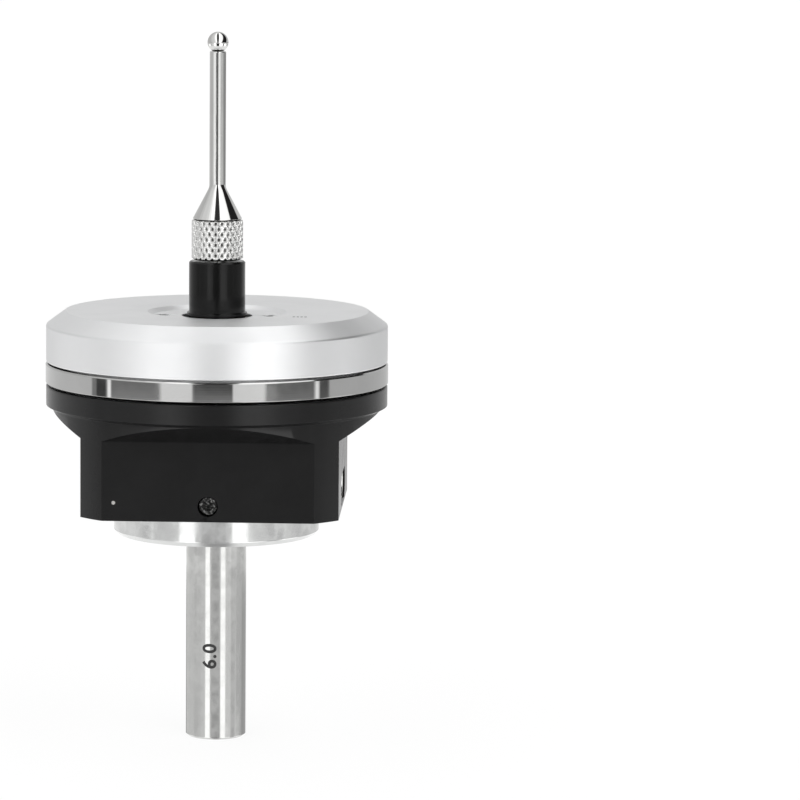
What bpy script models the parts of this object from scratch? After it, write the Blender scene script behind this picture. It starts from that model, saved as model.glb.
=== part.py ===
"""Touch probe for a small milling machine, standing on its shank with the stylus up.

The origin is the centre of the shank's end face, +Z runs up to the stylus and +X goes out
through the lead's socket. The body, the ring and the cap hold a spring-loaded spider. Its
three balls sit between three pairs of rollers, so the stylus gives way when it is pushed
aside or down, and comes back to the same place without turning.
"""

import math

import bmesh
import bpy
from mathutils import Matrix, Vector

MM = 0.001
PART_NAME = "touch_probe"

# Clearances, and how far a cutter runs past what it cuts
SEAT_GAP = 0.1 * MM
HOLE_CLEARANCE = 0.1 * MM
PRESS_GAP = 0.05 * MM
JOINT_LINE = 0.2 * MM
CUT_PAST = 1.0 * MM

# Shank and mounting flange
SHANK_RADIUS = 3.0 * MM
SHANK_CHAMFER = 0.2 * MM
SHANK_LENGTH = 20.6 * MM
FLANGE_INSET = 2.4 * MM
FLANGE_THICKNESS = 2.8 * MM
FLANGE_CHAMFER = 0.45 * MM
SPIGOT_WALL = 1.8 * MM
SPIGOT_FLOAT = 0.2 * MM

# Body
BODY_RADIUS = 17.0 * MM
BODY_HEIGHT = 12.0 * MM
FLAT_DEPTH = 4.35 * MM
RIM_HEIGHT = 1.95 * MM
UNDERCUT_RISE = 2.25 * MM
CORNER_INSET = 0.65 * MM
FLOOR_THICKNESS = 3.0 * MM
BOARD_LEDGE_WIDTH = 0.8 * MM
BOARD_LEDGE_HEIGHT = 0.6 * MM
CARRIER_LEDGE_WIDTH = 0.7 * MM
CARRIER_LEDGE_HEIGHT = 3.2 * MM
BAY_WALL = 1.25 * MM

# Spacer ring
RING_OVERHANG = 0.05 * MM
RING_HEIGHT = 2.0 * MM
RING_CHAMFER = 0.12 * MM

# Cap
CAP_HEIGHT = 5.0 * MM
CAP_BEVEL_HEIGHT = 1.4 * MM
CAP_BEVEL_WIDTH = 1.9 * MM
CAP_LIP_WIDTH = 1.35 * MM
CAP_SPIGOT_WALL = 2.75 * MM
CAP_ROOF_THICKNESS = 1.8 * MM
RECESS_MARGIN = 0.33 * MM
RECESS_DEPTH = 0.7 * MM
RECESS_SLOPE_WIDTH = 0.8 * MM
STYLUS_SWING = 0.5 * MM

# Socket for the lead
SOCKET_WIDTH = 8.34 * MM
SOCKET_HEIGHT = 2.56 * MM
SOCKET_WALL = 0.2 * MM
SOCKET_DEPTH = 6.4 * MM
SOCKET_INSET = 0.2 * MM
SOCKET_BACK_WALL = 0.4 * MM
SOCKET_RISE = 1.9 * MM
TONGUE_SIDE_GAP = 0.825 * MM
TONGUE_THICKNESS = 0.7 * MM
TONGUE_SETBACK = 0.5 * MM
TONGUE_BASE_DEPTH = 1.0 * MM
TONGUE_BASE_SIDE_GAP = 1.07 * MM
TONGUE_BASE_RISE_GAP = 0.18 * MM

# Electronics
BOARD_FIT = 0.2 * MM
BOARD_THICKNESS = 0.8 * MM
BOARD_HOLE_MARGIN = 0.3 * MM
CHIP_SIDE = 3.0 * MM
CHIP_HEIGHT = 0.9 * MM
LEAD_RADIUS = 0.3 * MM
LEAD_ANGLES = (144.0, 156.0)
LEAD_HOLE_RADIUS = 0.5 * MM
LEAD_CARRIER_INSET = 0.6 * MM
LEAD_TOP_INSET = 1.1 * MM
LEAD_BOARD_INSET = 1.0 * MM
LEAD_BEND = 0.5 * MM

# Kinematic seat
BALL_CIRCLE_INSET = 3.6 * MM
ARM_ANGLES = (90.0, 210.0, 330.0)
CONTACT_BALL_RADIUS = 1.0 * MM
ROLLER_RADIUS = 0.7 * MM
ROLLER_LENGTH = 3.2 * MM
ROLLER_SPREAD = 0.95 * MM
SEAT_CONTACT_GAP = 0.05 * MM
BALL_PLANE_ABOVE_BODY = 2.4 * MM
SEAT_RING_FIT = 0.3 * MM
SEAT_RING_BORE_MARGIN = 0.4 * MM

# Spider
HUB_MARGIN = 0.5 * MM
HUB_HEIGHT = 4.0 * MM
ARM_WIDTH = 3.0 * MM
ARM_HEIGHT = 2.5 * MM
ARM_END_MARGIN = 1.4 * MM
BALL_SINK = 0.6 * MM

# Spring and its carrier
CARRIER_THICKNESS = 1.0 * MM
SPRING_SEAT_WIDTH = 0.5 * MM
SPRING_SEAT_DEPTH = 0.4 * MM
SPRING_MEAN_RADIUS = 3.7 * MM
SPRING_WIRE_RADIUS = 0.4 * MM
SPRING_TURNS = 4.5
SPRING_END_TURNS = 0.75

# Sleeve and stylus
SLEEVE_RADIUS = 2.8 * MM
SLEEVE_COLLAR_WIDTH = 0.2 * MM
SLEEVE_COLLAR_HEIGHT = 0.35 * MM
SLEEVE_ABOVE_CAP = 4.95 * MM
SLEEVE_CHAMFER = 0.15 * MM
STUD_RADIUS = 0.95 * MM
STUD_LENGTH = 4.3 * MM
COLLAR_INSET = 0.25 * MM
COLLAR_HEIGHT = 4.1 * MM
COLLAR_CORE_DEPTH = 0.3 * MM
KNURL_DEPTH = 0.2 * MM
KNURL_COLUMNS = 24
KNURL_ROWS = 4
KNURL_END_MARGIN = 0.12 * MM
CONE_STEP = 0.1 * MM
CONE_HEIGHT = 3.1 * MM
STEM_RADIUS = 0.81 * MM
TIP_RADIUS = 1.04 * MM
TIP_CENTRE_ABOVE_COLLAR = 21.55 * MM
TIP_NECK_GAP = 0.2 * MM
TIP_PIN_RADIUS = 0.35 * MM

# Screws: thread radius, head radius, head height, hex key size
GRUB_RADIUS = 0.95 * MM
GRUB_KEY = 0.9 * MM
GRUB_KEY_DEPTH = 1.2 * MM
GRUB_INSET = 0.6 * MM
GRUB_ANGLES = {"front": 270.0, "left": 180.0, "back": 90.0}
CASE_SCREW_INSET = 1.4 * MM
CASE_SCREW_ANGLES = (45.0, 135.0, 225.0, 315.0)
CASE_SCREW_RADIUS = 0.75 * MM
CASE_SCREW_LENGTH = 13.6 * MM
CASE_HEAD_RADIUS = 1.45 * MM
CASE_HEAD_HEIGHT = 1.3 * MM
CASE_KEY = 1.3 * MM
SEAT_SCREW_INSET = 1.7 * MM
SEAT_SCREW_ANGLES = (0.0, 90.0, 180.0, 270.0)
SEAT_SCREW_RADIUS = 0.4 * MM
SEAT_SCREW_LENGTH = 2.2 * MM
SEAT_HEAD_RADIUS = 0.6 * MM
SEAT_HEAD_HEIGHT = 0.4 * MM
SEAT_SLOT_WIDTH = 0.25 * MM
BOARD_SCREW_INSET = 1.6 * MM
BOARD_SCREW_ANGLES = (135.0, 315.0)
BOARD_SCREW_RADIUS = 0.6 * MM
BOARD_SCREW_LENGTH = 3.0 * MM
BOARD_HEAD_RADIUS = 1.1 * MM
BOARD_HEAD_HEIGHT = 0.7 * MM
BOARD_KEY = 0.9 * MM
RETAINING_SCREW_RADIUS = 1.4 * MM
RETAINING_SCREW_LENGTH = 6.0 * MM
RETAINING_HEAD_RADIUS = 2.7 * MM
RETAINING_HEAD_HEIGHT = 1.4 * MM
RETAINING_KEY = 2.0 * MM
WASHER_OVERLAP = 1.0 * MM
WASHER_THICKNESS = 0.6 * MM
HUB_SCREW_RADIUS = 1.15 * MM
HUB_SCREW_GRIP = 2.0 * MM
HUB_HEAD_RADIUS = 2.0 * MM
HUB_HEAD_HEIGHT = 1.3 * MM
HUB_KEY = 1.5 * MM

# Radii and widths that follow from the sizes above
FLAT_DISTANCE = BODY_RADIUS - FLAT_DEPTH
FLAT_HEIGHT = BODY_HEIGHT - RIM_HEIGHT - UNDERCUT_RISE
CORNER_RADIUS = BODY_RADIUS - CORNER_INSET
FLANGE_RADIUS = FLAT_DISTANCE - FLANGE_INSET
SPIGOT_RADIUS = SHANK_RADIUS + SPIGOT_WALL
WASHER_RADIUS = SPIGOT_RADIUS + WASHER_OVERLAP
BAY_RADIUS = FLAT_DISTANCE - BAY_WALL
CARRIER_LEDGE_RADIUS = BAY_RADIUS - CARRIER_LEDGE_WIDTH
BOARD_LEDGE_RADIUS = CARRIER_LEDGE_RADIUS - BOARD_LEDGE_WIDTH
BOARD_RADIUS = CARRIER_LEDGE_RADIUS - BOARD_FIT
BOARD_HOLE_RADIUS = WASHER_RADIUS + BOARD_HOLE_MARGIN
BOARD_SCREW_CIRCLE_RADIUS = BOARD_LEDGE_RADIUS - BOARD_SCREW_INSET
RING_RADIUS = BODY_RADIUS + RING_OVERHANG
CAP_RADIUS = BODY_RADIUS
CAP_SPIGOT_RADIUS = CAP_RADIUS - CAP_LIP_WIDTH
CAP_CAVITY_RADIUS = CAP_SPIGOT_RADIUS - CAP_SPIGOT_WALL
CASE_SCREW_CIRCLE_RADIUS = CAP_CAVITY_RADIUS + CASE_SCREW_INSET
SEAT_RING_RADIUS = CAP_CAVITY_RADIUS - SEAT_RING_FIT
BALL_CIRCLE_RADIUS = SEAT_RING_RADIUS - BALL_CIRCLE_INSET
LEAD_TOP_RADIUS = SEAT_RING_RADIUS - LEAD_TOP_INSET
LEAD_CARRIER_RADIUS = CARRIER_LEDGE_RADIUS - LEAD_CARRIER_INSET
LEAD_BOARD_RADIUS = BOARD_RADIUS - LEAD_BOARD_INSET
SLEEVE_COLLAR_RADIUS = SLEEVE_RADIUS + SLEEVE_COLLAR_WIDTH
CAP_BORE_RADIUS = SLEEVE_COLLAR_RADIUS + STYLUS_SWING
SEAT_RING_BORE_RADIUS = CAP_BORE_RADIUS + SEAT_RING_BORE_MARGIN
SEAT_SCREW_CIRCLE_RADIUS = CAP_BORE_RADIUS + SEAT_SCREW_INSET
RECESS_RADIUS = SEAT_SCREW_CIRCLE_RADIUS + SEAT_HEAD_RADIUS + RECESS_MARGIN + RECESS_SLOPE_WIDTH
COLLAR_RADIUS = SLEEVE_RADIUS - COLLAR_INSET
COLLAR_CORE_RADIUS = COLLAR_RADIUS - COLLAR_CORE_DEPTH
CONE_BASE_RADIUS = COLLAR_RADIUS - CONE_STEP
HUB_RADIUS = SPRING_MEAN_RADIUS + SPRING_WIRE_RADIUS + HUB_MARGIN
CARRIER_HOLE_RADIUS = SPRING_MEAN_RADIUS - SPRING_WIRE_RADIUS - SPRING_SEAT_WIDTH
TONGUE_WIDTH = SOCKET_WIDTH - 2.0 * TONGUE_SIDE_GAP
TONGUE_LENGTH = SOCKET_DEPTH - SOCKET_BACK_WALL - SEAT_GAP - TONGUE_BASE_DEPTH - TONGUE_SETBACK
TONGUE_BASE_WIDTH = SOCKET_WIDTH - 2.0 * TONGUE_BASE_SIDE_GAP
TONGUE_BASE_HEIGHT = SOCKET_HEIGHT - 2.0 * TONGUE_BASE_RISE_GAP

# Heights that follow from the sizes above
FLANGE_BOTTOM = SHANK_LENGTH
FLANGE_TOP = FLANGE_BOTTOM + FLANGE_THICKNESS
BODY_BOTTOM = FLANGE_TOP + SEAT_GAP
BODY_TOP = BODY_BOTTOM + BODY_HEIGHT
RIM_BOTTOM = BODY_TOP - RIM_HEIGHT
CORNER_TOP = RIM_BOTTOM - CORNER_INSET * UNDERCUT_RISE / FLAT_DEPTH
FLOOR_TOP = BODY_BOTTOM + FLOOR_THICKNESS
SPIGOT_TOP = FLOOR_TOP - SEAT_GAP
BOARD_LEDGE = FLOOR_TOP + BOARD_LEDGE_HEIGHT
CARRIER_LEDGE = FLOOR_TOP + CARRIER_LEDGE_HEIGHT
BOARD_BOTTOM = BOARD_LEDGE + SEAT_GAP
BOARD_TOP = BOARD_BOTTOM + BOARD_THICKNESS
RING_BOTTOM = BODY_TOP + JOINT_LINE
RING_TOP = RING_BOTTOM + RING_HEIGHT
CAP_BOTTOM = RING_TOP + JOINT_LINE
CAP_TOP = CAP_BOTTOM + CAP_HEIGHT
CAP_SPIGOT_BOTTOM = BODY_TOP + SEAT_GAP
CAP_ROOF = CAP_TOP - CAP_ROOF_THICKNESS
RECESS_FLOOR = CAP_TOP - RECESS_DEPTH
BALL_PLANE = BODY_TOP + BALL_PLANE_ABOVE_BODY
CONTACT_DISTANCE = CONTACT_BALL_RADIUS + ROLLER_RADIUS + SEAT_CONTACT_GAP
ROLLER_PLANE = BALL_PLANE + math.sqrt(CONTACT_DISTANCE**2 - ROLLER_SPREAD**2)
SEAT_RING_TOP = CAP_ROOF - SEAT_GAP
ARM_TOP = BALL_PLANE - CONTACT_BALL_RADIUS + BALL_SINK
HUB_BOTTOM = ARM_TOP - ARM_HEIGHT
HUB_TOP = HUB_BOTTOM + HUB_HEIGHT
CARRIER_BOTTOM = CARRIER_LEDGE + SEAT_GAP
CARRIER_TOP = CARRIER_BOTTOM + CARRIER_THICKNESS
SLEEVE_BOTTOM = HUB_TOP + SEAT_GAP
SLEEVE_TOP = CAP_TOP + SLEEVE_ABOVE_CAP
COLLAR_BOTTOM = SLEEVE_TOP + SEAT_GAP
COLLAR_TOP = COLLAR_BOTTOM + COLLAR_HEIGHT
TIP_CENTRE = COLLAR_BOTTOM + TIP_CENTRE_ABOVE_COLLAR
SOCKET_CENTRE = BODY_BOTTOM + SOCKET_RISE
SOCKET_MOUTH = FLAT_DISTANCE - SOCKET_INSET
GRUB_HEIGHT = BODY_BOTTOM + FLOOR_THICKNESS / 2.0

# Facets round a full turn
FINE = 48
MEDIUM = 32
COARSE = 20
SMALL = 12

# Finish of each material: colour, metallic, roughness
FINISHES = {
    "satin_aluminium": ((0.72, 0.73, 0.74, 1.0), 1.0, 0.38),
    "polished_steel": ((0.62, 0.62, 0.61, 1.0), 1.0, 0.18),
    "ground_steel": ((0.58, 0.58, 0.57, 1.0), 1.0, 0.30),
    "black_plastic": ((0.018, 0.018, 0.019, 1.0), 0.0, 0.42),
    "gloss_black_plastic": ((0.010, 0.010, 0.010, 1.0), 0.0, 0.22),
    "dark_screw_steel": ((0.10, 0.10, 0.10, 1.0), 1.0, 0.35),
    "spring_steel": ((0.45, 0.45, 0.44, 1.0), 1.0, 0.30),
    "brass": ((0.72, 0.53, 0.25, 1.0), 1.0, 0.30),
    "green_board": ((0.02, 0.16, 0.06, 1.0), 0.0, 0.45),
    "chip_black": ((0.02, 0.02, 0.02, 1.0), 0.0, 0.55),
    "red_insulation": ((0.45, 0.02, 0.02, 1.0), 0.0, 0.50),
}


def clear_scene():
    """Remove whatever the scene holds."""
    for item in list(bpy.data.objects):
        bpy.data.objects.remove(item, do_unlink=True)


def make_collection(name):
    """Add a collection to the scene."""
    collection = bpy.data.collections.new(name)
    bpy.context.scene.collection.children.link(collection)
    return collection


clear_scene()
PARTS = make_collection(PART_NAME)
CUTTERS = make_collection(PART_NAME + "_cutters")


def dress(item, finish):
    """Give an object a material of its own in one of the finishes."""
    colour, metallic, roughness = FINISHES[finish]
    material = bpy.data.materials.new(item.name + "_" + finish)
    material.use_nodes = True
    shader = material.node_tree.nodes["Principled BSDF"]
    shader.inputs["Base Color"].default_value = colour
    shader.inputs["Metallic"].default_value = metallic
    shader.inputs["Roughness"].default_value = roughness
    if item.data.materials:
        item.material_slots[0].link = "OBJECT"
        item.material_slots[0].material = material
    else:
        item.data.materials.append(material)


def smooth(mesh):
    """Shade a mesh smooth, with sharp edges where its faces turn by more than 35 degrees."""
    mesh.shade_smooth()
    mesh.set_sharp_from_angle(angle=math.radians(35.0))


def add_part(name, mesh, finish, location=(0.0, 0.0, 0.0), rotation=(0.0, 0.0, 0.0)):
    """Place a mesh as one named piece of the probe."""
    item = bpy.data.objects.new(name, mesh)
    item.location = location
    item.rotation_euler = rotation
    PARTS.objects.link(item)
    dress(item, finish)
    return item


def add_cutter(name, mesh):
    """Place a mesh as a cutter, which is not a piece."""
    item = bpy.data.objects.new(name, mesh)
    item.hide_render = True
    item.display_type = "WIRE"
    CUTTERS.objects.link(item)
    return item


def cut(item, *cutters, operation="DIFFERENCE"):
    """Put one Boolean on an object for each cutter."""
    for cutter in cutters:
        boolean = item.modifiers.new(cutter.name, "BOOLEAN")
        boolean.operation = operation
        boolean.solver = "EXACT"
        boolean.object = cutter
    return item


def polar(radius, degrees, height=0.0):
    """The point at a radius and an angle from +X."""
    angle = math.radians(degrees)
    return Vector((radius * math.cos(angle), radius * math.sin(angle), height))


def turned_mesh(name, profile, closed, facets):
    """The mesh of a turned shape, from a profile that runs down its outer side."""
    mesh = bpy.data.meshes.new(name)
    count = len(profile)
    last = count if closed else count - 1
    edges = [(index, (index + 1) % count) for index in range(last)]
    mesh.from_pydata([(radius, 0.0, height) for radius, height in profile], edges, [])
    blank = bpy.data.objects.new(name, mesh)
    PARTS.objects.link(blank)
    screw = blank.modifiers.new("turn", "SCREW")
    screw.angle = math.tau
    screw.steps = facets
    screw.render_steps = facets
    screw.use_merge_vertices = True
    screw.merge_threshold = 0.001 * MM
    screw.use_normal_calculate = True
    return bake(blank)


def bake(item):
    """Turn an object with its modifiers into a plain mesh, and remove the object."""
    depsgraph = bpy.context.evaluated_depsgraph_get()
    depsgraph.update()
    mesh = bpy.data.meshes.new_from_object(item.evaluated_get(depsgraph))
    mesh.name = item.name
    mesh.transform(item.matrix_world)
    mesh.materials.clear()
    bpy.data.objects.remove(item, do_unlink=True)
    builder = bmesh.new()
    builder.from_mesh(mesh)
    bmesh.ops.remove_doubles(builder, verts=builder.verts, dist=0.001 * MM)
    bmesh.ops.recalc_face_normals(builder, faces=builder.faces)
    builder.to_mesh(mesh)
    builder.free()
    smooth(mesh)
    return mesh


def turned(name, profile, finish, facets, closed=True):
    """A turned piece."""
    return add_part(name, turned_mesh(name, profile, closed, facets), finish)


def rods_mesh(name, radius, ends, facets):
    """Straight round bars, one for each pair of end points, in one mesh."""
    builder = bmesh.new()
    for start, end in ends:
        axis = end - start
        turn = axis.to_track_quat("Z", "Y").to_matrix().to_4x4()
        bmesh.ops.create_cone(
            builder,
            cap_ends=True,
            segments=facets,
            radius1=radius,
            radius2=radius,
            depth=axis.length,
            matrix=Matrix.Translation((start + end) / 2.0) @ turn,
        )
    mesh = bpy.data.meshes.new(name)
    builder.to_mesh(mesh)
    builder.free()
    smooth(mesh)
    return mesh


def drills(name, radius, ends, facets=SMALL):
    """Cutters for round holes."""
    return add_cutter(name, rods_mesh(name, radius, ends, facets))


def upright(places, bottom, top):
    """End points of vertical bars that stand on the given places."""
    return [(Vector((p.x, p.y, bottom)), Vector((p.x, p.y, top))) for p in places]


def box_mesh(name, low, high):
    """A box between two corners."""
    low, high = Vector(low), Vector(high)
    builder = bmesh.new()
    bmesh.ops.create_cube(builder, size=1.0)
    bmesh.ops.scale(builder, vec=high - low, verts=builder.verts)
    bmesh.ops.translate(builder, vec=(low + high) / 2.0, verts=builder.verts)
    mesh = bpy.data.meshes.new(name)
    builder.to_mesh(mesh)
    builder.free()
    return mesh


def plate_mesh(name, outline, thickness, placing):
    """A flat outline given a thickness, from a filled 2D curve, centred on its plane."""
    curve = bpy.data.curves.new(name, "CURVE")
    curve.dimensions = "2D"
    curve.fill_mode = "BOTH"
    curve.extrude = thickness / 2.0
    spline = curve.splines.new("POLY")
    spline.points.add(len(outline) - 1)
    for point, (x, y) in zip(spline.points, outline):
        point.co = (x, y, 0.0, 1.0)
    spline.use_cyclic_u = True
    blank = bpy.data.objects.new(name, curve)
    PARTS.objects.link(blank)
    mesh = bake(blank)
    mesh.transform(placing)
    return mesh


def slot_outline(width, height, facets=SMALL):
    """A slot with round ends, lying along X."""
    radius = height / 2.0
    reach = (width - height) / 2.0
    steps = facets // 2
    right = [
        (reach + radius * math.sin(math.pi * i / steps), -radius * math.cos(math.pi * i / steps))
        for i in range(steps + 1)
    ]
    return right + [(-x, -y) for x, y in right]


def facing_x(distance, height):
    """Placing that stands a flat outline up to face +X, with its X along world Y."""
    turn = Matrix(((0, 0, 1), (1, 0, 0), (0, 1, 0))).to_4x4()
    return Matrix.Translation((distance, 0.0, height)) @ turn


def hex_cutter(name, key, bottom, top):
    """Cutter for a hex socket on the Z axis, across its flats."""
    across_corners = key / math.cos(math.pi / 6.0)
    axis = [(Vector((0, 0, bottom)), Vector((0, 0, top)))]
    return add_cutter(name, rods_mesh(name, across_corners / 2.0, axis, 6))


def cap_screw_mesh(name, radius, length, head_radius, head_height, key, facets=SMALL):
    """A socket-head screw with the underside of its head at the origin, head up."""
    profile = [
        (0.0, head_height),
        (head_radius * 0.85, head_height),
        (head_radius, head_height * 0.85),
        (head_radius, 0.0),
        (radius, 0.0),
        (radius, -length + radius * 0.4),
        (radius * 0.6, -length),
        (0.0, -length),
    ]
    blank = bpy.data.objects.new(name, turned_mesh(name, profile, False, facets))
    PARTS.objects.link(blank)
    socket = hex_cutter(name + "_socket", key, head_height * 0.4, head_height * 2.0)
    return bake(cut(blank, socket))


def make_shank():
    """The ground pin that the machine's collet holds, tapped at its upper end."""
    tap_radius = RETAINING_SCREW_RADIUS + PRESS_GAP
    tap_bottom = SPIGOT_TOP - RETAINING_SCREW_LENGTH - SEAT_GAP
    profile = [
        (0.0, tap_bottom),
        (tap_radius, tap_bottom),
        (tap_radius, SPIGOT_TOP),
        (SHANK_RADIUS, SPIGOT_TOP),
        (SHANK_RADIUS, SHANK_CHAMFER),
        (SHANK_RADIUS - SHANK_CHAMFER, 0.0),
        (0.0, 0.0),
    ]
    turned("shank", profile, "ground_steel", MEDIUM, closed=False)


def make_flange():
    """The disc between shank and body, with the spigot that the grub screws centre."""
    bore = SHANK_RADIUS + PRESS_GAP
    profile = [
        (bore, SPIGOT_TOP),
        (SPIGOT_RADIUS, SPIGOT_TOP),
        (SPIGOT_RADIUS, FLANGE_TOP),
        (FLANGE_RADIUS, FLANGE_TOP),
        (FLANGE_RADIUS, FLANGE_BOTTOM + FLANGE_CHAMFER),
        (FLANGE_RADIUS - FLANGE_CHAMFER, FLANGE_BOTTOM),
        (bore, FLANGE_BOTTOM),
    ]
    turned("mounting_flange", profile, "satin_aluminium", MEDIUM)


def make_flange_fastening():
    """Washer and screw that draw the flange up against the body's floor."""
    washer_bottom = FLOOR_TOP + SEAT_GAP
    washer_top = washer_bottom + WASHER_THICKNESS
    hole = RETAINING_SCREW_RADIUS + HOLE_CLEARANCE
    washer = [
        (hole, washer_top),
        (WASHER_RADIUS, washer_top),
        (WASHER_RADIUS, washer_bottom),
        (hole, washer_bottom),
    ]
    turned("retaining_washer", washer, "spring_steel", COARSE)
    head_seat = washer_top + SEAT_GAP
    reach = head_seat - SPIGOT_TOP + RETAINING_SCREW_LENGTH
    mesh = cap_screw_mesh(
        "retaining_screw",
        RETAINING_SCREW_RADIUS,
        reach,
        RETAINING_HEAD_RADIUS,
        RETAINING_HEAD_HEIGHT,
        RETAINING_KEY,
        COARSE,
    )
    add_part("retaining_screw", mesh, "dark_screw_steel", location=(0.0, 0.0, head_seat))


def side_cutters():
    """Four cutters that square the body's lower part and slope up to its round rim."""
    run = BODY_RADIUS - FLAT_DISTANCE
    slope = UNDERCUT_RISE / run
    beyond = BODY_RADIUS + 3.0 * CUT_PAST
    low = BODY_BOTTOM - 3.0 * CUT_PAST
    flat_top = BODY_BOTTOM + FLAT_HEIGHT
    outline = [
        (FLAT_DISTANCE, low),
        (beyond, low),
        (beyond, flat_top + slope * (beyond - FLAT_DISTANCE)),
        (FLAT_DISTANCE, flat_top),
    ]
    stand_up = Matrix.Rotation(math.pi / 2.0, 4, "X")
    cutters = []
    for index in range(4):
        turn = Matrix.Rotation(math.pi / 2.0 * index, 4, "Z")
        name = "side_cut_" + str(index + 1)
        cutters.append(add_cutter(name, plate_mesh(name, outline, 3.0 * BODY_RADIUS, turn @ stand_up)))
    return cutters


def case_screw_places():
    """Centres of the four case screws."""
    return [polar(CASE_SCREW_CIRCLE_RADIUS, angle) for angle in CASE_SCREW_ANGLES]


def make_body():
    """The black body: a stepped bay above a floor, squared off below its round, wider rim."""
    bore = SPIGOT_RADIUS + SPIGOT_FLOAT
    profile = [
        (BAY_RADIUS, BODY_TOP),
        (BODY_RADIUS, BODY_TOP),
        (BODY_RADIUS, RIM_BOTTOM),
        (CORNER_RADIUS, CORNER_TOP),
        (CORNER_RADIUS, BODY_BOTTOM),
        (bore, BODY_BOTTOM),
        (bore, FLOOR_TOP),
        (BOARD_LEDGE_RADIUS, FLOOR_TOP),
        (BOARD_LEDGE_RADIUS, BOARD_LEDGE),
        (CARRIER_LEDGE_RADIUS, BOARD_LEDGE),
        (CARRIER_LEDGE_RADIUS, CARRIER_LEDGE),
        (BAY_RADIUS, CARRIER_LEDGE),
    ]
    body = turned("body_shell", profile, "black_plastic", FINE)
    cut(body, *side_cutters())

    places = case_screw_places()
    head_seat = BODY_BOTTOM + CASE_HEAD_HEIGHT + 2.0 * SEAT_GAP
    hole_ends = upright(places, BODY_BOTTOM - CUT_PAST, BODY_TOP + CUT_PAST)
    counterbore_ends = upright(places, BODY_BOTTOM - CUT_PAST, head_seat)
    cut(body, drills("case_screw_holes", CASE_SCREW_RADIUS + HOLE_CLEARANCE, hole_ends))
    cut(body, drills("case_screw_counterbores", CASE_HEAD_RADIUS + HOLE_CLEARANCE, counterbore_ends))

    grub_ends = []
    for angle in GRUB_ANGLES.values():
        grub_ends.append((polar(bore - CUT_PAST, angle, GRUB_HEIGHT), polar(BODY_RADIUS, angle, GRUB_HEIGHT)))
    cut(body, drills("grub_screw_holes", GRUB_RADIUS + HOLE_CLEARANCE, grub_ends))

    board_places = [polar(BOARD_SCREW_CIRCLE_RADIUS, angle) for angle in BOARD_SCREW_ANGLES]
    tap_bottom = BOARD_TOP + SEAT_GAP - BOARD_SCREW_LENGTH - SEAT_GAP
    tap_ends = upright(board_places, tap_bottom, BOARD_LEDGE + CUT_PAST)
    cut(body, drills("board_screw_taps", BOARD_SCREW_RADIUS + PRESS_GAP, tap_ends))

    slot = slot_outline(
        SOCKET_WIDTH + 2.0 * (SOCKET_WALL + HOLE_CLEARANCE),
        SOCKET_HEIGHT + 2.0 * (SOCKET_WALL + HOLE_CLEARANCE),
        COARSE,
    )
    inner_end = SOCKET_MOUTH - SOCKET_DEPTH - SEAT_GAP
    outer_end = FLAT_DISTANCE + CUT_PAST
    placing = facing_x((inner_end + outer_end) / 2.0, SOCKET_CENTRE)
    cut(body, add_cutter("socket_pocket", plate_mesh("socket_pocket", slot, outer_end - inner_end, placing)))


def make_grub_screws():
    """Three set screws through the body's floor, which centre the flange's spigot."""
    inner = SPIGOT_RADIUS + SEAT_GAP
    outer = FLAT_DISTANCE - GRUB_INSET
    length = outer - inner
    tip = GRUB_RADIUS * 0.3
    profile = [
        (0.0, length),
        (GRUB_RADIUS - tip * 0.5, length),
        (GRUB_RADIUS, length - tip * 0.5),
        (GRUB_RADIUS, tip),
        (GRUB_RADIUS - tip, 0.0),
        (0.0, 0.0),
    ]
    blank = bpy.data.objects.new("grub_screw", turned_mesh("grub_screw", profile, False, SMALL))
    PARTS.objects.link(blank)
    socket = hex_cutter("grub_screw_socket", GRUB_KEY, length - GRUB_KEY_DEPTH, length + GRUB_KEY_DEPTH)
    mesh = bake(cut(blank, socket))
    for side, angle in GRUB_ANGLES.items():
        add_part(
            "grub_screw_" + side,
            mesh,
            "dark_screw_steel",
            location=polar(inner, angle, GRUB_HEIGHT),
            rotation=(0.0, math.pi / 2.0, math.radians(angle)),
        )


def make_case_screws():
    """Four screws from under the body, through the ring, into the cap."""
    mesh = cap_screw_mesh(
        "case_screw", CASE_SCREW_RADIUS, CASE_SCREW_LENGTH, CASE_HEAD_RADIUS, CASE_HEAD_HEIGHT, CASE_KEY
    )
    head_seat = BODY_BOTTOM + CASE_HEAD_HEIGHT + SEAT_GAP
    for index, place in enumerate(case_screw_places(), start=1):
        add_part(
            "case_screw_" + str(index),
            mesh,
            "dark_screw_steel",
            location=(place.x, place.y, head_seat),
            rotation=(math.pi, 0.0, 0.0),
        )


def make_ring():
    """The polished ring between body and cap."""
    inner = CAP_SPIGOT_RADIUS + 2.0 * HOLE_CLEARANCE
    profile = [
        (inner, RING_TOP),
        (RING_RADIUS - RING_CHAMFER, RING_TOP),
        (RING_RADIUS, RING_TOP - RING_CHAMFER),
        (RING_RADIUS, RING_BOTTOM + RING_CHAMFER),
        (RING_RADIUS - RING_CHAMFER, RING_BOTTOM),
        (inner, RING_BOTTOM),
    ]
    turned("spacer_ring", profile, "polished_steel", FINE)


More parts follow.
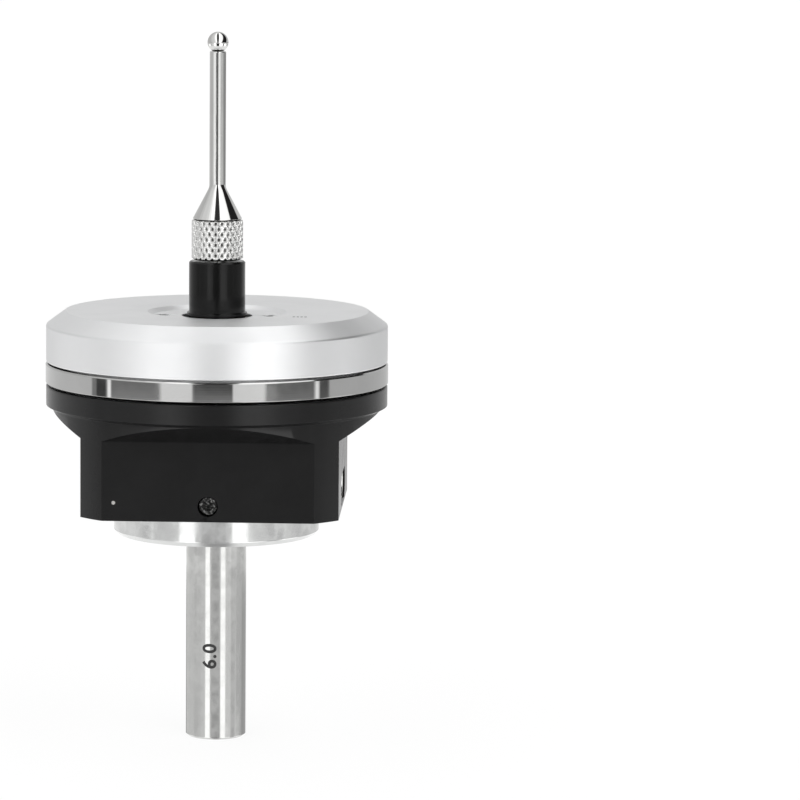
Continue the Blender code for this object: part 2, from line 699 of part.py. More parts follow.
def make_cap():
    """The cap: bevelled outside, dished round the stylus, with a spigot inside the ring."""
    profile = [
        (RECESS_RADIUS, CAP_TOP),
        (CAP_RADIUS - CAP_BEVEL_WIDTH, CAP_TOP),
        (CAP_RADIUS, CAP_TOP - CAP_BEVEL_HEIGHT),
        (CAP_RADIUS, CAP_BOTTOM),
        (CAP_SPIGOT_RADIUS, CAP_BOTTOM),
        (CAP_SPIGOT_RADIUS, CAP_SPIGOT_BOTTOM),
        (CAP_CAVITY_RADIUS, CAP_SPIGOT_BOTTOM),
        (CAP_CAVITY_RADIUS, CAP_ROOF),
        (CAP_BORE_RADIUS, CAP_ROOF),
        (CAP_BORE_RADIUS, RECESS_FLOOR),
        (RECESS_RADIUS - RECESS_SLOPE_WIDTH, RECESS_FLOOR),
    ]
    cap = turned("cap", profile, "satin_aluminium", FINE)
    tip_height = BODY_BOTTOM + CASE_HEAD_HEIGHT + SEAT_GAP + CASE_SCREW_LENGTH
    taps = upright(case_screw_places(), CAP_SPIGOT_BOTTOM - CUT_PAST, tip_height + 2.0 * SEAT_GAP)
    cut(cap, drills("case_screw_taps", CASE_SCREW_RADIUS + PRESS_GAP, taps))
    seat_places = [polar(SEAT_SCREW_CIRCLE_RADIUS, angle) for angle in SEAT_SCREW_ANGLES]
    holes = upright(seat_places, CAP_ROOF - CUT_PAST, CAP_TOP)
    cut(cap, drills("seat_screw_holes", SEAT_SCREW_RADIUS + PRESS_GAP, holes))
    sinks = upright(seat_places, RECESS_FLOOR - SEAT_HEAD_HEIGHT - SEAT_GAP, CAP_TOP)
    cut(cap, drills("seat_screw_sinks", SEAT_HEAD_RADIUS + PRESS_GAP, sinks))


def make_seat_ring():
    """Ring under the cap's roof, grooved for three pairs of rollers."""
    profile = [
        (SEAT_RING_BORE_RADIUS, SEAT_RING_TOP),
        (SEAT_RING_RADIUS, SEAT_RING_TOP),
        (SEAT_RING_RADIUS, ROLLER_PLANE),
        (SEAT_RING_BORE_RADIUS, ROLLER_PLANE),
    ]
    ring = turned("seat_ring", profile, "black_plastic", MEDIUM)
    grooves = roller_ends(ROLLER_LENGTH + 2.0 * SEAT_GAP)
    cut(ring, drills("roller_grooves", ROLLER_RADIUS + PRESS_GAP, [ends for _, ends in grooves]))
    places = [polar(SEAT_SCREW_CIRCLE_RADIUS, angle) for angle in SEAT_SCREW_ANGLES]
    tip = RECESS_FLOOR - SEAT_SCREW_LENGTH - SEAT_GAP
    taps = upright(places, tip - SEAT_GAP, SEAT_RING_TOP + CUT_PAST)
    cut(ring, drills("seat_screw_taps", SEAT_SCREW_RADIUS + PRESS_GAP, taps))


def roller_ends(length):
    """Name and end points of each roller: one pair along every arm, astride its ball."""
    ends = []
    for number, angle in enumerate(ARM_ANGLES, start=1):
        along = polar(1.0, angle)
        across = polar(1.0, angle + 90.0)
        for letter, side in (("a", -1.0), ("b", 1.0)):
            middle = along * BALL_CIRCLE_RADIUS + across * side * ROLLER_SPREAD
            middle.z = ROLLER_PLANE
            half = along * length / 2.0
            ends.append(("seat_roller_" + str(number) + letter, (middle - half, middle + half)))
    return ends


def make_rollers():
    """The six rollers that the balls rest against."""
    for name, (start, end) in roller_ends(ROLLER_LENGTH):
        add_part(name, rods_mesh(name, ROLLER_RADIUS, [(start, end)], SMALL), "polished_steel")


def make_seat_screws():
    """Four countersunk screws in the cap's recess, which hold the seat ring."""
    head_top = -0.5 * SEAT_GAP
    head_bottom = head_top - SEAT_HEAD_HEIGHT
    profile = [
        (0.0, head_top),
        (SEAT_HEAD_RADIUS, head_top),
        (SEAT_HEAD_RADIUS, head_bottom + SEAT_GAP),
        (SEAT_SCREW_RADIUS, head_bottom),
        (SEAT_SCREW_RADIUS, -SEAT_SCREW_LENGTH),
        (0.0, -SEAT_SCREW_LENGTH),
    ]
    blank = bpy.data.objects.new("seat_screw", turned_mesh("seat_screw", profile, False, SMALL))
    PARTS.objects.link(blank)
    half = SEAT_SLOT_WIDTH / 2.0
    slot_low = (-SEAT_HEAD_RADIUS * 2.0, -half, head_top - SEAT_HEAD_HEIGHT * 0.5)
    slot_high = (SEAT_HEAD_RADIUS * 2.0, half, SEAT_HEAD_HEIGHT)
    slot = add_cutter("seat_screw_slot", box_mesh("seat_screw_slot", slot_low, slot_high))
    mesh = bake(cut(blank, slot))
    for index, angle in enumerate(SEAT_SCREW_ANGLES, start=1):
        add_part(
            "seat_screw_" + str(index),
            mesh,
            "dark_screw_steel",
            location=polar(SEAT_SCREW_CIRCLE_RADIUS, angle, RECESS_FLOOR),
            rotation=(0.0, 0.0, math.radians(angle + 40.0)),
        )


def make_socket():
    """The socket for the lead: a folded metal shell and its plastic tongue."""
    back = SOCKET_MOUTH - SOCKET_DEPTH
    outer = slot_outline(SOCKET_WIDTH + 2.0 * SOCKET_WALL, SOCKET_HEIGHT + 2.0 * SOCKET_WALL, COARSE)
    placing = facing_x((back + SOCKET_MOUTH) / 2.0, SOCKET_CENTRE)
    shell = add_part("usb_shell", plate_mesh("usb_shell", outer, SOCKET_DEPTH, placing), "polished_steel")
    inner = slot_outline(SOCKET_WIDTH, SOCKET_HEIGHT, COARSE)
    floor = back + SOCKET_BACK_WALL
    length = SOCKET_MOUTH + CUT_PAST - floor
    hollow = plate_mesh("socket_hollow", inner, length, facing_x(floor + length / 2.0, SOCKET_CENTRE))
    cut(shell, add_cutter("socket_hollow", hollow))

    base_front = floor + SEAT_GAP + TONGUE_BASE_DEPTH
    base = box_mesh(
        "usb_tongue",
        (floor + SEAT_GAP, -TONGUE_BASE_WIDTH / 2.0, SOCKET_CENTRE - TONGUE_BASE_HEIGHT / 2.0),
        (base_front, TONGUE_BASE_WIDTH / 2.0, SOCKET_CENTRE + TONGUE_BASE_HEIGHT / 2.0),
    )
    blade = box_mesh(
        "tongue_blade",
        (base_front - TONGUE_BASE_DEPTH / 2.0, -TONGUE_WIDTH / 2.0, SOCKET_CENTRE - TONGUE_THICKNESS / 2.0),
        (base_front + TONGUE_LENGTH, TONGUE_WIDTH / 2.0, SOCKET_CENTRE + TONGUE_THICKNESS / 2.0),
    )
    tongue = add_part("usb_tongue", base, "chip_black")
    cut(tongue, add_cutter("tongue_blade", blade), operation="UNION")


def make_electronics():
    """The ring-shaped board round the retaining screw, its chip and its two screws."""
    profile = [
        (BOARD_HOLE_RADIUS, BOARD_TOP),
        (BOARD_RADIUS, BOARD_TOP),
        (BOARD_RADIUS, BOARD_BOTTOM),
        (BOARD_HOLE_RADIUS, BOARD_BOTTOM),
    ]
    board = turned("main_board", profile, "green_board", MEDIUM)
    places = [polar(BOARD_SCREW_CIRCLE_RADIUS, angle) for angle in BOARD_SCREW_ANGLES]
    holes = upright(places, BOARD_BOTTOM - CUT_PAST, BOARD_TOP + CUT_PAST)
    cut(board, drills("board_screw_holes", BOARD_SCREW_RADIUS + HOLE_CLEARANCE, holes))

    middle = (BOARD_HOLE_RADIUS + BOARD_RADIUS) / 2.0
    chip_bottom = BOARD_TOP + SEAT_GAP
    chip = box_mesh(
        "driver_chip",
        (-CHIP_SIDE / 2.0, -middle - CHIP_SIDE / 2.0, chip_bottom),
        (CHIP_SIDE / 2.0, -middle + CHIP_SIDE / 2.0, chip_bottom + CHIP_HEIGHT),
    )
    add_part("driver_chip", chip, "chip_black")

    mesh = cap_screw_mesh(
        "board_screw",
        BOARD_SCREW_RADIUS,
        BOARD_SCREW_LENGTH,
        BOARD_HEAD_RADIUS,
        BOARD_HEAD_HEIGHT,
        BOARD_KEY,
    )
    for index, place in enumerate(places, start=1):
        location = (place.x, place.y, BOARD_TOP + SEAT_GAP)
        add_part("board_screw_" + str(index), mesh, "brass", location=location)


def make_leads():
    """Two insulated wires from the seat ring, through the carrier plate, to the board."""
    stations = [
        (LEAD_TOP_RADIUS, ROLLER_PLANE - SEAT_GAP),
        (LEAD_TOP_RADIUS, BALL_PLANE),
        (LEAD_CARRIER_RADIUS + LEAD_BEND, BODY_TOP),
        (LEAD_CARRIER_RADIUS, CARRIER_TOP + 4.0 * LEAD_BEND),
        (LEAD_CARRIER_RADIUS, CARRIER_TOP),
        (LEAD_CARRIER_RADIUS, CARRIER_BOTTOM),
        (LEAD_BOARD_RADIUS, BOARD_TOP + SEAT_GAP),
    ]
    for index, angle in enumerate(LEAD_ANGLES, start=1):
        name = "lead_wire_" + str(index)
        curve = bpy.data.curves.new(name, "CURVE")
        curve.dimensions = "3D"
        curve.bevel_depth = LEAD_RADIUS
        curve.bevel_resolution = 2
        curve.use_fill_caps = True
        spline = curve.splines.new("POLY")
        route = smooth_route([polar(radius, angle, height) for radius, height in stations], 3)
        spline.points.add(len(route) - 1)
        for point, place in zip(spline.points, route):
            point.co = (*place, 1.0)
        lead = bpy.data.objects.new(name, curve)
        PARTS.objects.link(lead)
        dress(lead, "red_insulation")


def smooth_route(points, parts):
    """Points along a smooth curve through the given points."""
    padded = [points[0] * 2.0 - points[1]] + points + [points[-1] * 2.0 - points[-2]]
    route = []
    for before, start, end, after in zip(padded, padded[1:], padded[2:], padded[3:]):
        for step in range(parts):
            t = step / parts
            bend_start = (end - before) / 2.0
            bend_end = (after - start) / 2.0
            route.append(
                start * (2.0 * t**3 - 3.0 * t**2 + 1.0)
                + bend_start * (t**3 - 2.0 * t**2 + t)
                + end * (3.0 * t**2 - 2.0 * t**3)
                + bend_end * (t**3 - t**2)
            )
    return route + [points[-1]]


def make_carrier():
    """The plate on the body's upper ledge that carries the spring."""
    seat_radius = SPRING_MEAN_RADIUS + SPRING_WIRE_RADIUS + 2.0 * SEAT_GAP
    seat_height = CARRIER_TOP - SPRING_SEAT_DEPTH
    outer = BAY_RADIUS - 2.0 * SEAT_GAP
    profile = [
        (seat_radius, CARRIER_TOP),
        (outer, CARRIER_TOP),
        (outer, CARRIER_BOTTOM),
        (CARRIER_HOLE_RADIUS, CARRIER_BOTTOM),
        (CARRIER_HOLE_RADIUS, seat_height),
        (seat_radius, seat_height),
    ]
    plate = turned("carrier_plate", profile, "satin_aluminium", MEDIUM)
    places = [polar(LEAD_CARRIER_RADIUS, angle) for angle in LEAD_ANGLES]
    holes = upright(places, CARRIER_BOTTOM - CUT_PAST, CARRIER_TOP + CUT_PAST)
    cut(plate, drills("lead_holes", LEAD_HOLE_RADIUS, holes))


def make_spring():
    """The return spring, with close turns at its ends."""
    bottom = CARRIER_TOP - SPRING_SEAT_DEPTH + SEAT_GAP + SPRING_WIRE_RADIUS
    top = HUB_BOTTOM - SEAT_GAP - SPRING_WIRE_RADIUS
    end_rise = SPRING_END_TURNS * 2.2 * SPRING_WIRE_RADIUS
    steps = int(SPRING_TURNS * 14)
    curve = bpy.data.curves.new("return_spring", "CURVE")
    curve.dimensions = "3D"
    curve.bevel_depth = SPRING_WIRE_RADIUS
    curve.bevel_resolution = 1
    curve.use_fill_caps = True
    spline = curve.splines.new("POLY")
    spline.points.add(steps)
    free_turns = SPRING_TURNS - 2.0 * SPRING_END_TURNS
    free_rise = top - bottom - 2.0 * end_rise
    for index, point in enumerate(spline.points):
        turn = SPRING_TURNS * index / steps
        first = min(turn, SPRING_END_TURNS) / SPRING_END_TURNS
        middle = min(max(turn - SPRING_END_TURNS, 0.0), free_turns) / free_turns
        last = max(turn - SPRING_END_TURNS - free_turns, 0.0) / SPRING_END_TURNS
        height = bottom + end_rise * (first + last) + free_rise * middle
        point.co = (*polar(SPRING_MEAN_RADIUS, 360.0 * turn, height), 1.0)
    spring = bpy.data.objects.new("return_spring", curve)
    PARTS.objects.link(spring)
    dress(spring, "spring_steel")
    return spring


def ball_centre(number):
    """Centre of contact ball 1, 2 or 3."""
    return polar(BALL_CIRCLE_RADIUS, ARM_ANGLES[number - 1], BALL_PLANE)


def ball_mesh(name, radius, facets):
    """A plain ball."""
    builder = bmesh.new()
    bmesh.ops.create_uvsphere(builder, u_segments=facets, v_segments=facets // 2, radius=radius)
    mesh = bpy.data.meshes.new(name)
    builder.to_mesh(mesh)
    builder.free()
    smooth(mesh)
    return mesh


def make_contact_balls():
    """The three balls, each in a socket in the end of its arm."""
    mesh = ball_mesh("contact_ball", CONTACT_BALL_RADIUS, SMALL)
    balls = []
    for number in (1, 2, 3):
        balls.append(add_part("contact_ball_" + str(number), mesh, "polished_steel", ball_centre(number)))
    return balls


def make_spider():
    """The hub and its three arms, one piece, bored for the hub screw."""
    hub_profile = [
        (0.0, HUB_TOP),
        (HUB_RADIUS * 0.9, HUB_TOP),
        (HUB_RADIUS, HUB_TOP - HUB_RADIUS * 0.1),
        (HUB_RADIUS, HUB_BOTTOM),
        (0.0, HUB_BOTTOM),
    ]
    spider = turned("spider", hub_profile, "brass", COARSE, closed=False)
    reach = BALL_CIRCLE_RADIUS + ARM_END_MARGIN
    inset = 0.05 * MM
    for number, angle in enumerate(ARM_ANGLES, start=1):
        name = "arm_" + str(number)
        arm = box_mesh(
            name, (0.0, -ARM_WIDTH / 2.0, HUB_BOTTOM + inset), (reach, ARM_WIDTH / 2.0, ARM_TOP)
        )
        arm.transform(Matrix.Rotation(math.radians(angle), 4, "Z"))
        cut(spider, add_cutter(name, arm), operation="UNION")
    for number in (1, 2, 3):
        name = "ball_socket_" + str(number)
        socket = ball_mesh(name, CONTACT_BALL_RADIUS + SEAT_CONTACT_GAP, SMALL)
        socket.transform(Matrix.Translation(ball_centre(number)))
        cut(spider, add_cutter(name, socket))
    bore = upright([Vector((0.0, 0.0, 0.0))], HUB_BOTTOM - CUT_PAST, HUB_TOP + CUT_PAST)
    cut(spider, drills("hub_bore", HUB_SCREW_RADIUS + HOLE_CLEARANCE, bore, COARSE))
    return spider


def make_hub_screw():
    """The screw from under the hub into the sleeve."""
    head_seat = HUB_BOTTOM - SEAT_GAP
    length = HUB_HEIGHT + 2.0 * SEAT_GAP + HUB_SCREW_GRIP
    mesh = cap_screw_mesh(
        "hub_screw", HUB_SCREW_RADIUS, length, HUB_HEAD_RADIUS, HUB_HEAD_HEIGHT, HUB_KEY, COARSE
    )
    return add_part(
        "hub_screw", mesh, "dark_screw_steel", (0.0, 0.0, head_seat), (math.pi, 0.0, 0.0)
    )


def make_sleeve():
    """The insulating sleeve between spider and stylus, tapped at both ends."""
    stud_hole = STUD_RADIUS + PRESS_GAP
    stud_hole_bottom = COLLAR_BOTTOM - STUD_LENGTH - SEAT_GAP
    screw_hole = HUB_SCREW_RADIUS + PRESS_GAP
    screw_hole_top = SLEEVE_BOTTOM + HUB_SCREW_GRIP + SEAT_GAP
    collar_bottom = RECESS_FLOOR
    collar_top = collar_bottom + SLEEVE_COLLAR_HEIGHT
    profile = [
        (0.0, stud_hole_bottom),
        (stud_hole, stud_hole_bottom),
        (stud_hole, SLEEVE_TOP),
        (SLEEVE_RADIUS - SLEEVE_CHAMFER, SLEEVE_TOP),
        (SLEEVE_RADIUS, SLEEVE_TOP - SLEEVE_CHAMFER),
        (SLEEVE_RADIUS, collar_top),
        (SLEEVE_COLLAR_RADIUS, collar_top),
        (SLEEVE_COLLAR_RADIUS, collar_bottom),
        (SLEEVE_RADIUS, collar_bottom),
        (SLEEVE_RADIUS, SLEEVE_BOTTOM),
        (screw_hole, SLEEVE_BOTTOM),
        (screw_hole, screw_hole_top),
        (0.0, screw_hole_top),
    ]
    return turned("sleeve", profile, "gloss_black_plastic", MEDIUM, closed=False)


def knurl_mesh(name):
    """A tube whose outside is a diamond knurl: crests and crossings on one square lattice."""
    columns = 2 * KNURL_COLUMNS
    rows = 2 * KNURL_ROWS
    bottom = COLLAR_BOTTOM + KNURL_END_MARGIN
    height = COLLAR_HEIGHT - 2.0 * KNURL_END_MARGIN
    root = COLLAR_RADIUS - KNURL_DEPTH
    inner = COLLAR_CORE_RADIUS * 0.8
    builder = bmesh.new()
    rings = []
    for row in range(rows + 1):
        ring = []
        for column in range(columns):
            crest = (row + column) % 2 == 0 and 0 < row < rows
            radius = COLLAR_RADIUS if crest else root
            ring.append(builder.verts.new(polar(radius, 360.0 * column / columns, bottom + height * row / rows)))
        rings.append(ring)
    for end in (height, 0.0):
        rings.append([builder.verts.new(polar(inner, 360.0 * c / columns, bottom + end)) for c in range(columns)])
    for level, (lower, upper) in enumerate(zip(rings, rings[1:] + rings[:1])):
        for column in range(columns):
            after = (column + 1) % columns
            corners = [lower[column], lower[after], upper[after], upper[column]]
            if (level + column) % 2 == 0:
                builder.faces.new((corners[0], corners[1], corners[3]))
                builder.faces.new((corners[1], corners[2], corners[3]))
            else:
                builder.faces.new((corners[0], corners[1], corners[2]))
                builder.faces.new((corners[0], corners[2], corners[3]))
    bmesh.ops.recalc_face_normals(builder, faces=builder.faces)
    mesh = bpy.data.meshes.new(name)
    builder.to_mesh(mesh)
    builder.free()
    return mesh


def make_stylus():
    """Stud, knurled collar, cone and stem, with a cupped end and a pin for the ball."""
    neck = math.sqrt(TIP_RADIUS**2 - STEM_RADIUS**2)
    stem_top = TIP_CENTRE - neck - TIP_NECK_GAP
    cup_depth = (STEM_RADIUS - TIP_PIN_RADIUS) * 0.75
    pin_top = TIP_CENTRE - TIP_RADIUS * 0.2
    profile = [
        (0.0, pin_top),
        (TIP_PIN_RADIUS, pin_top),
        (TIP_PIN_RADIUS, stem_top - cup_depth),
        (STEM_RADIUS, stem_top),
        (STEM_RADIUS, COLLAR_TOP + CONE_HEIGHT),
        (CONE_BASE_RADIUS, COLLAR_TOP),
        (COLLAR_CORE_RADIUS, COLLAR_TOP - KNURL_END_MARGIN),
        (COLLAR_CORE_RADIUS, COLLAR_BOTTOM + KNURL_END_MARGIN / 2.0),
        (COLLAR_CORE_RADIUS - KNURL_END_MARGIN / 2.0, COLLAR_BOTTOM),
        (STUD_RADIUS, COLLAR_BOTTOM),
        (STUD_RADIUS, COLLAR_BOTTOM - STUD_LENGTH),
        (0.0, COLLAR_BOTTOM - STUD_LENGTH),
    ]
    stylus = turned("stylus", profile, "polished_steel", COARSE, closed=False)
    return cut(stylus, add_cutter("knurl", knurl_mesh("knurl")), operation="UNION")


def make_tip():
    """The ball tip, bored for the stem's pin."""
    bore = TIP_PIN_RADIUS + PRESS_GAP
    bore_top = TIP_CENTRE - TIP_RADIUS * 0.2 + SEAT_GAP
    steps = 10
    opening = math.asin(bore / TIP_RADIUS)
    profile = [(0.0, TIP_CENTRE + TIP_RADIUS)]
    for step in range(1, steps + 1):
        angle = (math.pi - opening) * step / steps
        profile.append((TIP_RADIUS * math.sin(angle), TIP_CENTRE + TIP_RADIUS * math.cos(angle)))
    profile += [(bore, bore_top), (0.0, bore_top)]
    return turned("stylus_ball", profile, "polished_steel", COARSE, closed=False)


def add_pivot(name, location, parent=None):
    """An empty on a joint's axis, under the pivot that carries it."""
    pivot = bpy.data.objects.new(name, None)
    pivot.empty_display_size = 3.0 * MM
    pivot.location = location
    PARTS.objects.link(pivot)
    if parent is not None:
        hang(pivot, parent)
    return pivot


def hang(child, pivot):
    """Parent something to a pivot, so that it stays where it is."""
    child.parent = pivot
    child.matrix_parent_inverse = Matrix.Translation(pivot.location).inverted()


def make_moving_pieces():
    """What the spring carries, hung on a slide and on three tilt axes between the balls."""
    plunge = add_pivot("plunge_pivot", (0.0, 0.0, BALL_PLANE))
    tilts = []
    parent = plunge
    for first, second in ((2, 3), (3, 1), (1, 2)):
        middle = (ball_centre(first) + ball_centre(second)) / 2.0
        parent = add_pivot("tilt_pivot_" + str(len(tilts) + 1), middle, parent)
        tilts.append(parent)
    hang(make_spring(), plunge)
    for ball, tilt in zip(make_contact_balls(), tilts):
        hang(ball, tilt)
    for piece in (make_spider(), make_hub_screw(), make_sleeve(), make_stylus(), make_tip()):
        hang(piece, tilts[-1])


def main():
    """Build every piece of the probe."""
    make_shank()
    make_flange()
    make_flange_fastening()
    make_body()
    make_grub_screws()
    make_case_screws()
    make_ring()
    make_cap()
    make_seat_ring()
    make_rollers()
    make_seat_screws()
    make_socket()
    make_electronics()
    make_leads()
    make_carrier()
    make_moving_pieces()


main()
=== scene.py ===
"""Looks of a touch probe: finishes, fine meshes, studio and camera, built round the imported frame.

The probe stands on its shank with the stylus up. Each sub-assembly is a class that holds its
sizes and builds its pieces. Every piece sits where the frame's own node sits, in metres.
"""

from __future__ import annotations

import logging
import math
from dataclasses import dataclass
from enum import Enum
from typing import Iterable, Sequence

import bmesh
import bpy
from mathutils import Matrix, Vector

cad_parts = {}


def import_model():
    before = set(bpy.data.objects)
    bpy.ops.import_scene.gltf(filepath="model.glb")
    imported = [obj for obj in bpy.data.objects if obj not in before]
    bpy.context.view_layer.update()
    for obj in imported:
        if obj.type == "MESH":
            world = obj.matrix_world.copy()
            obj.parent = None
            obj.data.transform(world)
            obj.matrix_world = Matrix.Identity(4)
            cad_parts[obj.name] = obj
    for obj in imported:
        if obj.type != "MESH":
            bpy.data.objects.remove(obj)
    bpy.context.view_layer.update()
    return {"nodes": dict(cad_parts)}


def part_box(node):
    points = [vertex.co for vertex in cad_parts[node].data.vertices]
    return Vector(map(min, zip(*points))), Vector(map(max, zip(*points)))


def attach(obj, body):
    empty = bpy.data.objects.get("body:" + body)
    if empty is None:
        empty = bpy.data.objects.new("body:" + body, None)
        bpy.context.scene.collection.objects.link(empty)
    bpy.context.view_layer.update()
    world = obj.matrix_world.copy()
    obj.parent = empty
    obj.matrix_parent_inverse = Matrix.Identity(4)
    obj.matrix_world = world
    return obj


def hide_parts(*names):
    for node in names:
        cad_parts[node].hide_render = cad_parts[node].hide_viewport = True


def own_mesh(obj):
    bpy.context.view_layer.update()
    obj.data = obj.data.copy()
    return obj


LOG = logging.getLogger("touch_probe")
MM = 0.001

# Points nearer than TINY are one point. A cutter runs PAST the face that it cuts.
TINY = 0.0005 * MM
PAST = 1.0 * MM

# A fillet takes at most FILLET_SHARE of an edge, and a point up to SUPPORT beyond it keeps the flat flat.
FILLET_SHARE = 0.45
FILLET_STEPS = 5
SUPPORT = 0.03 * MM
SUPPORT_SHARE = 0.04
SLOT_STEPS = 16

# Angles in degrees between faces, past which an edge is sharp or gets rounded.
SMOOTH_ANGLE = 32.0
SOFT_ANGLE = 40.0
SLIGHT_ANGLE = 20.0

# Shares and limits inside the node groups. RAMP_RANGE is the brightest level that a ramp can hold.
RAMP_RANGE = 3.0
# The pit level is painted shade: the share of the colour kept deep in the knurl's pits, darkened where shadow
# falls.
PIT_SHADE_LEVEL = 0.12
PIT_FADE = 0.1 * MM
PATCH_LIMITS = (0.82, 1.18)
KNURL_FULL_DEPTH = 0.8
KNURL_RUN_OUT = 30.0
ALMOST = 0.999

# The set screws at the front, the left and the back, in degrees from +X.
GRUB_ANGLES = (270.0, 180.0, 90.0)

HOUSING = "housing"
PLUNGER = "plunge_frame"
STYLUS_SIDE = "stylus_assembly"


class Facets(Enum):
    """How many flat sides stand for a full turn."""

    BROAD = 240
    MIDDLE = 160
    SMALL = 96
    SCREW = 48
    KNURLED = 336


class Marks(Enum):
    """How a surface was worked, which sets the direction of its fine marks."""

    GRAINED = "grained"
    TURNED = "turned"


@dataclass(frozen=True)
class Corner:
    """One corner of a turned outline.

    Args:
        radius: distance from the Z axis.
        height: place along the Z axis.
        fillet: radius of the rounding at this corner, 0 for a sharp one.
    """

    radius: float
    height: float
    fillet: float = 0.0


class Graph:
    """Adds and wires the nodes of one node tree."""

    def __init__(self, tree: bpy.types.NodeTree) -> None:
        """Keep the tree and empty it.

        Args:
            tree: the shader, world or geometry tree to fill.
        """
        self.tree = tree
        tree.nodes.clear()

    def add(self, kind: str, inputs: dict | None = None, **settings: object) -> bpy.types.Node:
        """Add a node.

        Args:
            kind: the node's type name.
            inputs: what its inputs get, by name or number: a number, a tuple or an output socket.
            settings: properties to set on it.

        Returns:
            The new node.
        """
        node = self.tree.nodes.new(kind)
        for name, value in settings.items():
            setattr(node, name, value)
        for name, value in (inputs or {}).items():
            if isinstance(value, bpy.types.NodeSocket):
                self.tree.links.new(value, node.inputs[name])
            else:
                node.inputs[name].default_value = value
        return node

    def math(self, operation: str, *values: object, clamp: bool = False) -> bpy.types.NodeSocket:
        """Add a Math node.

        Args:
            operation: the name of the sum, such as MULTIPLY.
            values: numbers or output sockets.
            clamp: whether the result is kept between 0 and 1.

        Returns:
            The result's socket.
        """
        inputs = dict(enumerate(values))
        return self.add("ShaderNodeMath", inputs, operation=operation, use_clamp=clamp).outputs[0]

    def vector(self, operation: str, **inputs: object) -> bpy.types.Node:
        """Add a Vector Math node.

        Args:
            operation: the name of the sum, such as NORMALIZE.
            inputs: a for the first input, b for the second, scale for the scale.

        Returns:
            The new node.
        """
        places = {"a": 0, "b": 1, "scale": "Scale"}
        named = {places[name]: value for name, value in inputs.items()}
        return self.add("ShaderNodeVectorMath", named, operation=operation)

    def ease(self, value: object, start: object, end: object) -> bpy.types.NodeSocket:
        """Rise smoothly from 0 to 1 while a value goes from start to end.

        Args:
            value: the number or socket that is read.
            start: where the rise begins.
            end: where it is complete.

        Returns:
            The result's socket.
        """
        inputs = {"Value": value, "From Min": start, "From Max": end}
        return self.add("ShaderNodeMapRange", inputs, interpolation_type="SMOOTHSTEP").outputs["Result"]

    def between(self, factor: object, low: object, high: object) -> bpy.types.NodeSocket:
        """Blend two numbers.

        Args:
            factor: 0 for the first, 1 for the second.
            low: the first number or socket.
            high: the second number or socket.

        Returns:
            The blend's socket.
        """
        return self.add("ShaderNodeMix", {0: factor, 2: low, 3: high}, data_type="FLOAT").outputs[0]

    def tint(self, factor: object, first: object, second: object) -> bpy.types.NodeSocket:
        """Blend two colours.

        Args:
            factor: 0 for the first, 1 for the second.
            first: the first colour or socket.
            second: the second colour or socket.

        Returns:
            The blend's socket.
        """
        return self.add("ShaderNodeMix", {0: factor, 6: first, 7: second}, data_type="RGBA").outputs[2]


def start_tree(kind: str, name: str, inputs: dict[str, str], outputs: dict[str, str]) -> tuple[Graph, dict]:
    """Start a node group with named inputs and outputs.

    Args:
        kind: ShaderNodeTree or GeometryNodeTree.
        name: the group's name.
        inputs: the type of each input.
        outputs: the type of each output.

    Returns:
        The graph and the sockets to read from.
    """
    tree = bpy.data.node_groups.new(name, kind)
    for way, sockets in (("INPUT", inputs), ("OUTPUT", outputs)):
        for label, variety in sockets.items():
            tree.interface.new_socket(label, in_out=way, socket_type="NodeSocket" + variety)
    graph = Graph(tree)
    reads = {socket.name: socket for socket in graph.add("NodeGroupInput").outputs if socket.name}
    return graph, reads


